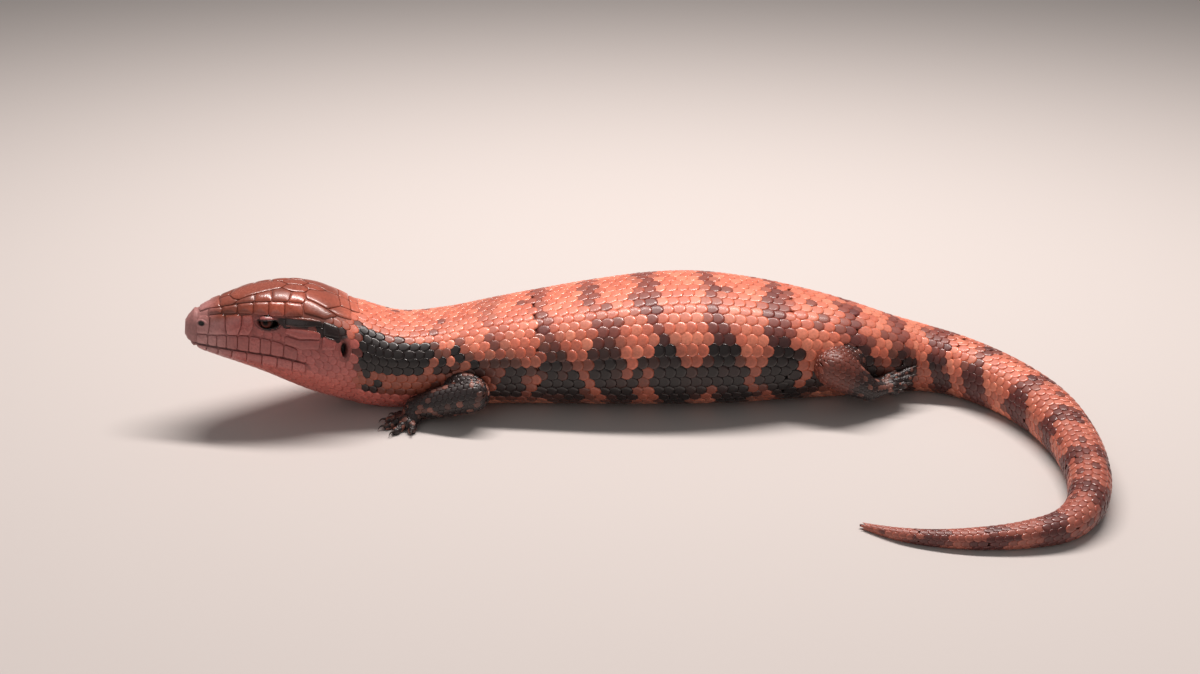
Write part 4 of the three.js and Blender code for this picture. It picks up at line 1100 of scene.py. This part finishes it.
# The edge of the head's top: a row of swollen shields from the nostril over the eye. Its foot is given as
# heights and its top as distances from the middle line.
BROW_SUTURES = [8.8, 14.4, 20.6, 27, 33.2, 39.6, 47]
BROW_FOOT = ([8.8, 12.4, 15.8, 19, 22.6, 26.6, 34, 41, 47],
             [12.6, 14, 14.5, 15.4, 15.7, 16.4, 16.7, 17.4, 17.9])
BROW_TOP = ([8.8, 13.6, 19, 23, 27.4, 34.4, 41, 47], [4.2, 6.4, 8, 9.2, 10.4, 11.8, 12.9, 13.6])
LIP_SUTURES = [4.4, 9.1, 12.7, 16.6, 21.1, 25.7, 30.3, 34.6, 39.8, 45.4]
LIP_HEIGHTS = [4.4, 4.9, 5.5, 6.2, 6.8, 7.4, 7.4, 7, 6, 4.6]
LOWER_SUTURES = [4.6, 8.6, 13.4, 19, 25, 31.2, 37.4, 43.6, 49]
LOWER_DEPTHS = [2.2, 3.2, 4, 4.6, 5.2, 5.8, 6.2, 6.4, 6.4]
LIP_GAP = 0.28  # from the parting of the lips to the lip shields
print("listed for each side:", len(TOP_SHIELDS), "shields of the top and", len(SIDE_SHIELDS), "of the side")

# %% [markdown]
# The lists are turned into outlines on the hide's map. Shields of the left side are mirrored to the right by
# the sign of v, and the lip shields follow the mouth's line from one suture to the next.

# %% Outlines on the map
def on_map(corners, side, across):
    """Corners on the map, from distances off the middle line where across is true, and else from heights."""
    a, other = np.array(corners, float).T
    turn = head_turn(a, b=other) if across else head_turn(a, c=other)
    return np.column_stack([a, side * animal.v_of(a, turn)])


def outlines():
    """Every shield's outline as a name and corners on the map, where v is positive on the left."""
    result = []
    for name, half in MIDDLE_SHIELDS.items():
        left = on_map(half, 1, True)
        right = on_map(half, -1, True)[1:-1][::-1]
        result.append((name, np.vstack([left, right])))
    for side, word in ((1, "left"), (-1, "right")):
        for name, corners in TOP_SHIELDS.items():
            result.append((f"{name}_{word}", on_map(corners, side, True)))
        for name, corners in SIDE_SHIELDS.items():
            result.append((f"{name}_{word}", on_map(corners, side, False)))
        for k in range(len(BROW_SUTURES) - 1):
            ends = [BROW_SUTURES[k], BROW_SUTURES[k + 1]]
            foot = on_map([[x, np.interp(x, *BROW_FOOT)] for x in ends], side, False)
            top = on_map([[x, np.interp(x, *BROW_TOP)] for x in ends[::-1]], side, True)
            result.append((f"brow_{k}_{word}", np.vstack([foot, top])))
        rows = (("upper_lip", LIP_SUTURES, LIP_HEIGHTS, 1), ("lower_lip", LOWER_SUTURES, LOWER_DEPTHS, -1))
        for name, sutures, heights, way in rows:
            for k in range(len(sutures) - 1):
                front, back = sutures[k], sutures[k + 1]
                middle = (front + back) / 2
                foot = [[x, mouth_height(x) + way * LIP_GAP] for x in (back, middle, front)]
                corners = [[front, way * heights[k]], [back, way * heights[k + 1]]] + foot
                result.append((f"{name}_{k}_{word}", on_map(corners, side, False)))
    return result


shield_outlines = outlines()
print(len(shield_outlines), "shields")

# %% [markdown]
# Each outline is drawn in by half the width of the dark line between neighbours, and softened at its corners.
# The plate then rises quickly from its rim and stays nearly flat, as real shields do. Its middle is filled by
# rings that shrink to the centre, because rings at even insets would cross each other in a narrow shield.

# %% Building one plate
GROOVE, EDGE_STEP, RING_STEP = 0.1, 0.7, 1.6
PLATE_BASE, PLATE_FOOT = 0.1, -0.45  # heights over the hide of the plate's top edge and of its wall's foot
PLATE_RINGS = [(0.0, 0.0), (0.14, 0.15), (0.34, 0.26)]  # inwards, upwards
RIM_WIDTH, WALL_RIM = 0.3, 1.3  # the rim's width, and the value that marks the wall
FLAT_CROWN, BROW_CROWN = 0.14, 0.5


def plate(corners, crown):
    """Points, faces, rim shares and map places of one shield on the head's hide."""
    girth = animal.girth_at(corners[:, 0])
    flat = np.column_stack([corners[:, 0], corners[:, 1] * girth])
    path = []
    for k in range(len(flat)):
        start, end = flat[k], flat[(k + 1) % len(flat)]
        steps = max(1, int(round(np.linalg.norm(end - start) / EDGE_STEP)))
        path += [start + (end - start) * j / steps for j in range(steps)]
    path = np.array(path)
    for _ in range(2):
        path = 0.25 * np.roll(path, 1, 0) + 0.5 * path + 0.25 * np.roll(path, -1, 0)
    area = 0.5 * np.sum(path[:, 0] * np.roll(path[:, 1], -1) - path[:, 1] * np.roll(path[:, 0], -1))
    if area < 0:
        path = path[::-1]
    tangent = unit(np.roll(path, -1, 0) - np.roll(path, 1, 0))
    inward = np.column_stack([-tangent[:, 1], tangent[:, 0]])
    centre = path.mean(axis=0)
    path = path + inward * GROOVE
    depth = np.min(np.abs(((path - centre) * inward).sum(axis=1)))
    count = len(path)
    rings, lifts, rims = [path + inward * 0.05], [PLATE_FOOT], [WALL_RIM]
    for inset, height in PLATE_RINGS:
        if inset < 0.62 * depth:
            rings.append(path + inward * inset)
            lifts.append(height)
            rims.append(max(0.0, 1 - inset / RIM_WIDTH))
            last_height = height
    inner = rings[-1]
    size = np.max(np.linalg.norm(inner - centre, axis=1))
    steps = max(3, int(size / RING_STEP))
    for k in range(1, steps):
        share = 1 - k / steps
        rings.append(centre + (inner - centre) * share)
        lifts.append(last_height + crown * (1 - share**3))
        rims.append(0.0)
    points = np.vstack(rings + [centre[None]])
    lift = np.concatenate([np.repeat(lifts, count), [last_height + crown]]) + PLATE_BASE
    rim = np.concatenate([np.repeat(rims, count), [0.0]])
    u = points[:, 0]
    v = points[:, 1] / animal.girth_at(u)
    place, _ = animal.at(u, v, lift)
    faces = [list(quad) for quad in band(len(rings), count)]
    top = (len(rings) - 1) * count
    faces += [[top + k, top + (k + 1) % count, len(rings) * count] for k in range(count)]
    return place, faces, rim, u, v


# %% [markdown]
# All plates become one piece. Each has a tone and a gloss of its own, is darker at its rim and darkest on its
# wall, and looks away from the head's middle.

# %% The head's shields as one piece
def facing_out(points, faces):
    """Turns a plate's faces so that they look away from the head's middle."""
    first = faces[len(faces) // 2]
    normal = np.cross(points[first[1]] - points[first[0]], points[first[2]] - points[first[0]])
    middle = head_point(np.clip(head_place(points[first[0]])[0], 4, HEAD_LENGTH), 0, 1)
    return faces if normal @ (points[first[0]] - middle) > 0 else [face[::-1] for face in faces]


def plates_object(name, corner_lists, shading):
    """One piece from many shields."""
    all_points, all_faces, all_colours, all_uvs, all_gloss = [], [], [], [], []
    base = 0
    for label, corners in corner_lists:
        points, faces, rim, u, v = plate(corners, BROW_CROWN if label.startswith("brow") else FLAT_CROWN)
        faces = facing_out(points, faces)
        luck = rng.random()
        tone = paint(np.clip(u, 0.5, HEAD_LENGTH - 2.5), v, luck) * (0.93 + 0.14 * luck)
        tone = tone * (1 - shading * np.clip(rim, 0, 1))[:, None] * np.where(rim > 1, 0.5, 1)[:, None]
        all_points.append(points)
        all_gloss.append(np.clip(0.45 + rim, 0, 1) * (0.6 + 0.8 * luck))
        all_faces += [[base + i for i in face] for face in faces]
        all_colours.append(tone)
        centre = np.array([u.mean() / HEAD_LENGTH * 0.9 + 0.05, (v.mean() + 0.5) * 0.9 + 0.05])
        spread = np.column_stack([u - u.mean(), (v - v.mean()) * 100]) / 25
        all_uvs.append(centre + BAKE_SPREAD * spread)
        base += len(points)
    obj = mesh_object(name, to_frame(np.vstack(all_points)), all_faces, shield_finish, np.vstack(all_colours),
                      np.vstack(all_uvs))
    put_gloss(obj.data, np.concatenate(all_gloss))
    print(name, len(corner_lists), "plates,", sum(len(f) - 2 for f in all_faces), "triangles")
    return obj


shields = plates_object("head_shields", shield_outlines, 0.2)

# %% [markdown]
# ## Scales of the trunk and tail
# About forty long rows of scales run round the middle of the body and fewer round the neck and tail. No
# scales are laid where a leg grows out.

# %% Scales of the trunk and tail
TRUNK_ZONES = [  # from the snout, to, rows round, spacing along
    (72.0, 112.0, 38, 4.1),
    (112.0, 150.0, 40, 4.5),
    (150.0, 262.0, 42, 4.8),
    (262.0, 290.0, 36, 4.5),
]
TAIL_ZONES = [
    (290.0, 312.0, 30, 4.3),
    (312.0, 344.0, 26, 4.2),
    (344.0, 394.0, 22, 4.1),
    (394.0, 440.0, 20, 3.9),
    (440.0, 480.0, 16, 3.6),
    (480.0, 512.0, 14, 3.2),
    (512.0, 536.0, 10, 2.8),
    (536.0, 556.5, 8, 2.4),
]


def off_the_legs(u, v):
    """True where no leg covers the trunk."""
    points, _ = animal.at(u, v)
    free = np.ones(len(u), bool)
    for leg in LEGS.values():
        start, bend, wrist = leg["joints"]
        r0, r1, r2 = leg["radii"]
        free &= ~in_capsule(points, start, bend, r0, r1, 0.86)
        free &= ~in_capsule(points, bend, wrist, r1, r2, 0.86)
    return free


trunk_scales = scales_object(
    "scales_trunk", [lay_scales(animal, TRUNK_ZONES, paint, off_the_legs, 0.5, 0.42, 0.3)], scale_finish)
tail_scales = scales_object(
    "scales_tail", [lay_scales(animal, TAIL_ZONES, paint, off_the_legs, 0.45, 0.38, 0.28)], scale_finish)

# %% [markdown]
# On the cheeks, throat and nape small flat scales fill what the shields leave bare. A scale is laid where its
# middle lies in no shield's outline, off the eye and the ear, and away from the lips.

# %% Small scales of the cheeks, throat and nape
HEAD_ZONES = [(8.0, 30.0, 40, 3.0), (30.0, 72.6, 44, 3.5)]
EYE_BARE_SIZE, EAR_BARE_SIZE = (6.4, 4.2), (2.4, 4.2)


def inside(points, corners):
    """True for points inside a closed outline, both on the flat map."""
    x, y = points[:, 0], points[:, 1]
    hit = np.zeros(len(points), bool)
    for k in range(len(corners)):
        (x1, y1), (x2, y2) = corners[k], corners[(k + 1) % len(corners)]
        crosses = (y1 > y) != (y2 > y)
        hit ^= crosses & (x < (x2 - x1) * (y - y1) / (y2 - y1 + 1e-12) + x1)
    return hit


def bare_of_shields(u, v):
    """True on the head where no shield, eye, ear or lip lies."""
    signed = np.where(np.mod(v, 1) > 0.5, np.mod(v, 1) - 1, np.mod(v, 1))
    places = np.column_stack([u, signed])
    free = np.ones(len(u), bool)
    for _, corners in shield_outlines:
        free &= ~inside(places, corners)
    points, _ = animal.at(u, v)
    a, c = head_place(points)
    beside = np.abs(np.abs(signed) - 0.25) < 0.2
    for centre_a, centre_c, size in ((EYE_A, EYE_C, EYE_BARE_SIZE), (EAR_A, EAR_C, EAR_BARE_SIZE)):
        free &= ~((far_from(a, c, centre_a, centre_c, size) < 1) & beside)
    free &= np.abs(c - mouth_height(a)) > np.where(a < MOUTH_CORNER, 1.2, 0)
    return free


# The cheek's scales get only a faint painted highlight along their rear rims.
head_scales = scales_object(
    "scales_head",
    [lay_scales(animal, HEAD_ZONES, paint, bare_of_shields, 0.4, 0.12, 0.12, base=-0.2, jitter=0.03,
                edge=0.06)],
    scale_finish)

# %% [markdown]
# ## Scales of the legs
# Leg scales are small and rounded. They cover each segment, the palm and the toes, where a few run round
# each toe like rings. The legs are almost black with pale flecks, and the knee is a dark reddish brown.

# %% Leg scales
UNDER_TRUNK = -0.6  # scales this far inside the trunk aren't laid


def leg_paint(hide, knee=None):
    """The colour of leg scales, with a brown blush near the knee."""
    def colour_of(u, v, luck):
        colour = mix(LIMB_BLACK, LIMB_FLECK, np.clip((luck - 0.76) * 3, 0, 0.7))
        if knee is not None:
            points, _ = hide.at(u, v)
            near = 1 - fade(np.linalg.norm(points - knee, axis=1), 7, 15)
            colour = mix(colour, KNEE * (0.7 + 0.6 * luck)[:, None], near * 0.8)
        return colour
    return colour_of


def clear_on(hide, *segment):
    """A test for places on a hide outside the trunk and, where one is given, outside a leg segment."""
    def keep(u, v):
        points, _ = hide.at(u, v)
        free = ~in_trunk(points, UNDER_TRUNK)
        return free & ~in_capsule(points, *segment) if segment else free
    return keep


def leg_layers(leg, parts):
    """All layers of scales of one leg."""
    (hip, bend, wrist), (r0, r1, r2) = leg["joints"], leg["radii"]
    knee = np.array(bend, float) if r0 > 10 else None
    layers = []
    for key, other in (("upper", (bend, wrist, r1, r2, 0.85)), ("lower", (hip, bend, r0, r1, 0.85))):
        hide = parts[key]
        rows = 2 * int(round(hide.girth.max() / 2.5 / 2))
        zones = [(1.2, hide.along[-1] - 1.2, rows, 2.7)]
        layers.append(lay_scales(hide, zones, leg_paint(hide, knee), clear_on(hide, *other), 0.6, 0.7, 0.35,
                                 base=-0.1))
    hide = parts["palm"]
    layers.append(lay_scales(hide, [(0.8, hide.along[-1] - 0.8, 14, 2.1)], leg_paint(hide),
                             clear_on(hide, bend, wrist, r1, r2, 0.8), 0.6, 0.7, 0.35, base=-0.1))
    for hide in parts["toes"]:
        layers.append(lay_scales(hide, [(2.4, hide.along[-1] - 0.3, 8, 1.5)], leg_paint(hide), clear_on(hide),
                                 0.6, 0.5, 0.3, base=-0.05))
    return layers


def pair_scales(name, pair):
    """The scales of the left and right leg of a pair as one piece."""
    layers = [leg_layers(LEGS[f"{pair}_{side}"], limb_hides[f"{pair}_{side}"]) for side in ("left", "right")]
    return scales_object(name, layers[0] + layers[1], scale_finish)


arm_scales, leg_scales = pair_scales("scales_arms", "arm"), pair_scales("scales_legs", "leg")

# %% [markdown]
# ## Eyes
# The eye is a dark wet ball with a reddish brown iris round a black pupil, and it sits deep between its lids.
# A sphere would do for the white of an eye, but this one needs a clear bulge in front for its highlight, so
# the ball's front is drawn forward a little. Its colour follows the angle from the way it looks.

# %% The eyes
IRIS, IRIS_EDGE, PUPIL = rgb(84, 34, 24), rgb(30, 14, 12), rgb(4, 3, 3)
BALL_RADIUS, BALL_BULGE = 3.6, 0.22
BALL_OUT = EYE_RADIUS - BALL_RADIUS  # brings the smaller ball's front to that of the solid eye
wet, _, _, shader, _ = painted("eye_wet", 1500, 2, (0, 1), (0.6, 1.4))
shader.inputs["Roughness"].default_value = 0.14
shader.inputs["Specular IOR Level"].default_value = 0.12
shader.inputs["Coat Weight"].default_value = 0.06
shader.inputs["Coat Roughness"].default_value = 0.03
for side, word in ((1, "left"), (-1, "right")):
    middle = head_point(EYE_A, side * (eye_side + BALL_OUT), EYE_C)
    look = unit(head_left * side - 0.28 * head_back + 0.16 * head_up)
    deselect()
    bpy.ops.mesh.primitive_uv_sphere_add(segments=48, ring_count=32, radius=BALL_RADIUS)
    ball = bpy.context.object
    ball.name = ball.data.name = f"eyeball_{word}"
    points = np.array([v.co for v in ball.data.vertices])
    # The ball's pole is turned to the way it looks, and its front drawn forward.
    side_way = unit(np.cross(UP, look))
    basis = np.column_stack([side_way, np.cross(look, side_way), look])
    angle = np.arccos(np.clip(points[:, 2] / BALL_RADIUS, -1, 1))
    bulge = BALL_BULGE * (1 - fade(angle, 0.35, 0.85))
    points = points * (1 + bulge / BALL_RADIUS)[:, None]
    ball.data.vertices.foreach_set("co", to_frame(points @ basis.T + middle).ravel())
    ball.data.update()
    tone = mix(IRIS, IRIS_EDGE, fade(angle, 0.5, 0.72))
    tone = mix(tone, PUPIL, 1 - fade(angle, 0.26, 0.33))
    tone = mix(tone, PUPIL, fade(angle, 0.74, 0.85))
    put_paint(ball.data, tone)
    ball.data.materials.append(wet)
    bpy.ops.object.shade_smooth()
    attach(ball, "root")
    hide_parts(f"eye_{word}")
    print(ball.name, "at", (middle + SHIFT).round(1), "mm")

# %% [markdown]
# ## Eyelids
# Two lids close round the eye to an almond. A torus bent to an almond would be too even, so the lids are a
# band of rings: the inner one lies on the ball, the next is the swollen edge, and the outer ones run down to
# the skin. The edge is beaded with small scales.

# %% The shape of the lids' opening, and the skin beside it
LID_HALF_LENGTH, LID_HALF_HEIGHT = 4.5, 1.7
LID_OUTER, LID_OUTER_ABOVE = (6.6, 4.3), 3.3
LID_TURNS = round_turns(96)
# How far out each ring of the lids lies, from the opening at 0 to the skin at 1. The first is tucked in.
LID_SHARES = (-0.1, 0.0, 0.05, 0.12, 0.2, 0.3, 0.42, 0.55, 0.7, 0.85, 1.0)
LID_THICKNESS, LID_SINK = 0.3, 0.9
EDGE_BEADS, FOLD_BEADS = 11, 8
FOLD_SHARE, FOLD_WIDTH = 0.42, 0.13


def almond(turn):
    """The lid opening's edge at a turn, as a distance along the head and a height."""
    x, y = np.cos(turn), np.sin(turn)
    high = LID_HALF_HEIGHT * np.where(y > 0, 0.85, 1.2) * np.sign(y) * np.abs(y) ** 1.2
    return LID_HALF_LENGTH * x, high + 0.3 * x


def skin_depth(a, c):
    """How far the even skin of the head lies from the middle plane at a place on its side."""
    w = head_section(np.clip(a, 0, HEAD_LENGTH))
    height = np.clip((c - w[:, 3]) / w[:, 1], 0, 0.985)
    return w[:, 0] * (1 - height ** w[:, 4]) ** (1 / w[:, 4])


inner_a, inner_c = almond(LID_TURNS)
print("the eye opens", round(np.ptp(inner_a), 1), "by", round(np.ptp(inner_c), 1), "mm")

# %% [markdown]
# A ring's depth is that of the ball's shell or of the sunken skin, whichever stands higher, with a soft
# change between the two, so that the lids neither cut into the ball nor leave a gap to the skin.

# %% The lids
def hump(share, middle, width):
    """1 in the middle, falling off smoothly over a width."""
    return math.exp(-(((share - middle) / width) ** 2))


def lid_ring(share):
    """Distances, heights and depths beside the eye's middle of one ring of the lids."""
    width, tucked = max(share, 0), share < 0
    turn = LID_TURNS
    outer_c = np.where(np.sin(turn) > 0, LID_OUTER_ABOVE, LID_OUTER[1]) * np.sin(turn)
    a = inner_a + (LID_OUTER[0] * np.cos(turn) - inner_a) * width
    c = inner_c + (outer_c - inner_c) * width
    ball = np.sqrt(np.maximum((BALL_RADIUS + LID_THICKNESS) ** 2 - a**2 - c**2, 0.01)) + BALL_OUT
    even = skin_depth(EYE_A + a, EYE_C + c) - eye_side
    sunk = even - LID_SINK * (1 - fade(width, 0.0, 0.6))
    if tucked:
        ball, sunk = ball - 0.6, sunk - 0.5
    depth = 0.2 * np.logaddexp(ball / 0.2, sunk / 0.2)
    swell = 0.45 * hump(share, 0.1, 0.1) * (0.8 + 0.4 * np.abs(np.sin(turn * EDGE_BEADS)))
    folds = 0.6 + 0.6 * np.abs(np.sin(turn * FOLD_BEADS + 0.6))
    swell = swell + 0.25 * hump(share, FOLD_SHARE, FOLD_WIDTH) * folds
    settle = fade(width, 0.6, 1.0)
    return a, c, depth * (1 - settle) + (even - 0.25) * settle + swell


def lid_tone(share):
    """The colour of one ring of the lids: black at the edge and behind the eye, with a painted highlight on
    the fold above.
    """
    turn = LID_TURNS
    count = len(turn)
    tone = mix(np.tile(BLACK * 0.8, (count, 1)), CHEEK * 0.72, np.full(count, fade(max(share, 0), 0.2, 0.6)))
    # A painted highlight on the upper fold, where the light from above falls.
    pale = hump(share, FOLD_SHARE, FOLD_WIDTH) * fade(np.sin(turn), 0.2, 0.6) * (np.cos(turn) < 0.6)
    tone = mix(tone, CHEEK * 1.1, pale * 0.8)
    behind = fade(np.cos(turn), 0.45, 0.8) * fade(np.sin(turn), -0.35, 0.0)
    tone = mix(tone, BLACK, behind * 0.95)
    return tone * (0.8 + 0.3 * np.abs(np.sin(turn * EDGE_BEADS)))[:, None]


def lids(side, word):
    """Both lids of one eye as one band of rings."""
    rings = []
    for share in LID_SHARES:
        a, c, depth = lid_ring(share)
        rings.append(head_point(EYE_A + a, side * (eye_side + depth), EYE_C + c))
    faces = [list(quad)[::-side] for quad in band(len(rings), len(LID_TURNS))]
    tones = [lid_tone(share) for share in LID_SHARES]
    return mesh_object(f"eyelids_{word}", to_frame(np.vstack(rings)), faces, scale_finish, np.vstack(tones))


eyelids = [lids(1, "left"), lids(-1, "right")]
print("eyelids", [len(obj.data.polygons) for obj in eyelids], "faces")

# %% [markdown]
# ## Nostrils
# Each nostril is a small, shallow hollow with a raised rim in its shield, its inside painted black as painted
# shade.
# A torus would sink into the curved shield on one side, so the rim is a few rings that follow the head's own
# surface.

# %% The nostrils
# Each ring's share of the nostril's size, its height over the hide, and how pale it is; the rings that aren't
# pale are painted black as the shade inside the hollow.
NOSTRIL_RINGS = [(0, 0.5, 0), (0.5, 0.52, 0), (0.8, 0.62, 0), (1, 0.84, 0.6), (1.25, 0.84, 1), (1.7, 0.42, 1)]
NOSTRIL_TURNS = round_turns(24)
around = len(NOSTRIL_TURNS)
points, tones, faces = [], [], []
for side in (1, -1):
    base = len(points) * around
    for share, lift, pale in NOSTRIL_RINGS:
        size = max(share, 0.02)  # the innermost ring is tiny but not a point
        a = NOSTRIL_A + size * NOSTRIL_SIZE[0] * np.cos(NOSTRIL_TURNS)
        c = NOSTRIL_C + size * NOSTRIL_SIZE[1] * np.sin(NOSTRIL_TURNS) + 0.25 * share * np.cos(NOSTRIL_TURNS)
        v = side * animal.v_of(a, head_turn(a, c=c))
        place, _ = animal.at(a, v, np.full(around, lift))
        points.append(place)
        # The inside is painted black as painted shade, and the rim takes the snout's grey.
        tones.append(np.tile(BLACK * 0.6 * (1 - pale) + SNOUT_GREY_AND_SHEEN * 0.92 * pale, (around, 1)))
    faces += [[p, s, r, q][::-side] for p, q, r, s in band(len(NOSTRIL_RINGS), around, base)]
    faces.append([base + k for k in range(around)][::side])
nostrils = mesh_object("nostrils", to_frame(np.vstack(points)), faces, shield_finish, np.vstack(tones))
print("nostrils", len(faces), "faces")

# %% [markdown]
# ## Claws
# Each toe ends in a small curved claw, dark and hard. Each could be drawn as a curve with a tapered bevel,
# but twenty of them are more alike than that. A cone is added once and cut into a few rings, and a copy is
# bent along each toe's own line, so that every claw follows its toe to the floor.

# %% The model claw
deselect()
bpy.ops.mesh.primitive_cone_add(vertices=12, radius1=1, radius2=0.06, depth=1, end_fill_type="TRIFAN")
cone = bpy.context.object
bpy.ops.object.mode_set(mode="EDIT")
for height in np.linspace(-0.35, 0.4, 7):
    bpy.ops.mesh.select_all(action="SELECT")
    bpy.ops.mesh.bisect(plane_co=(0, 0, float(height)), plane_no=(0, 0, 1))
bpy.ops.object.mode_set(mode="OBJECT")
claw_points = np.array([v.co for v in cone.data.vertices])
claw_faces = [list(p.vertices) for p in cone.data.polygons]
bpy.data.objects.remove(cone)
print("one claw has", len(claw_faces), "faces")

# %% [markdown]
# The cone's height becomes a place on a smooth line through four points, from inside the toe to just over
# the floor, and its width a little less across than high, as a real claw is.

# %% The claws
CLAW_RADIUS, CLAW_FLATNESS = 0.85, 0.8
CLAW_ROOT, CLAW_TIP = rgb(58, 40, 34), rgb(20, 15, 14)


def claw_at(line):
    """The cone bent along four points from its root to its tip."""
    line = np.array(line)
    share = claw_points[:, 2] + 0.5
    s = share * 3
    middle = rows_at(line, s)
    back = unit(rows_at(line, np.minimum(s + 0.05, 3)) - rows_at(line, np.maximum(s - 0.05, 0)))
    left = unit(np.cross(back, UP))
    up = np.cross(left, back)
    thick = CLAW_RADIUS * (1 - 0.15 * share)
    across, high = claw_points[:, 0] * thick * CLAW_FLATNESS, claw_points[:, 1] * thick
    return middle + left * across[:, None] + up * high[:, None]


points, faces = [], []
for parts in limb_hides.values():
    for line in parts["claws"]:
        base = len(points) * len(claw_points)
        points.append(claw_at(line))
        faces += [[base + i for i in face] for face in claw_faces]
claw_share = np.tile(claw_points[:, 2] + 0.5, len(points))
claws = mesh_object("claws", to_frame(np.vstack(points)), faces, shield_finish,
                    mix(CLAW_ROOT, CLAW_TIP, claw_share))
pick(claws)
bpy.ops.object.mode_set(mode="EDIT")
bpy.ops.mesh.select_all(action="SELECT")
bpy.ops.mesh.normals_make_consistent(inside=False)
bpy.ops.object.mode_set(mode="OBJECT")
print("claws", len(points))

# %% [markdown]
# ## What each piece stands for
# The animal is still, so every piece rides on the one body. The skin stands for all the solids of flesh.

# %% Riding, replacing and finishes
SLOTS = {
    "scales_copper": [skin, trunk_scales, tail_scales, shields],
    "scales_pale": [head_scales, nostrils],
    "scales_dark": [arm_scales, leg_scales, *eyelids, claws],
}
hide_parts(*FLESH)
for slot, pieces in SLOTS.items():
    for piece in pieces:
        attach(piece, "root")
print("slots", {slot: len(pieces) for slot, pieces in SLOTS.items()})

# %% [markdown]
# ## Floor and light
# A plain pale floor and soft studio light. A long narrow lamp above and behind the animal lights its back, as
# in the picture, and draws a bright line along the edges of its scales. A weaker, wider one in front and a
# faint light from all round keep the side from going black.

# %% Floor
FLOOR_SIZE, FLOOR_COLOUR = 8, (0.6, 0.57, 0.55, 1)
deselect()
bpy.ops.mesh.primitive_plane_add(size=FLOOR_SIZE, location=(0, 0, 0))
floor = bpy.context.object
floor.name = "floor"
pale = bpy.data.materials.new("pale_floor")
pale.use_nodes = True
pale_shader = pale.node_tree.nodes["Principled BSDF"]
pale_shader.inputs["Base Color"].default_value = FLOOR_COLOUR
pale_shader.inputs["Roughness"].default_value = 0.9
floor.data.materials.append(pale)
print("floor", floor.dimensions[:2])

# %% [markdown]
# Both lamps are rectangles that face a point near the animal, so one function makes and turns them. The
# light from all round is the world's background.

# %% Lamps
def lamp(name, place, aim, size, power, colour):
    """A rectangular area lamp that faces a point; its size is along X and across."""
    deselect()
    bpy.ops.object.light_add(type="AREA", location=place)
    light = bpy.context.object
    light.name = name
    way = Vector(aim) - Vector(place)
    light.rotation_euler = way.to_track_quat("-Z", "Y").to_euler()
    light.data.shape = "RECTANGLE"
    light.data.size, light.data.size_y = size
    light.data.energy = power
    light.data.color = colour
    print(name, power, "W,", size, "m")


lamp("lamp_above", place=(0.05, 0.30, 0.85), aim=(0.0, 0.02, 0.0), size=(0.9, 0.09), power=12.0,
     colour=(1.0, 0.90, 0.86))
lamp("lamp_front", place=(-0.5, -1.1, 0.7), aim=(-0.02, 0.0, 0.03), size=(0.9, 0.9), power=1.3,
     colour=(1.0, 0.93, 0.91))
world = bpy.data.worlds.new("studio")
bpy.context.scene.world = world
world.use_nodes = True
all_round = world.node_tree.nodes["Background"]
all_round.inputs["Color"].default_value = (1.0, 0.95, 0.93, 1)
all_round.inputs["Strength"].default_value = 0.2
bpy.context.scene.view_settings.view_transform = "Standard"

# %% [markdown]
# ## The end
# The view layer is brought up to date, so that every object's place is current. The
# dressed model has to stay within the solids' box.

# %% The end
bpy.context.view_layer.update()
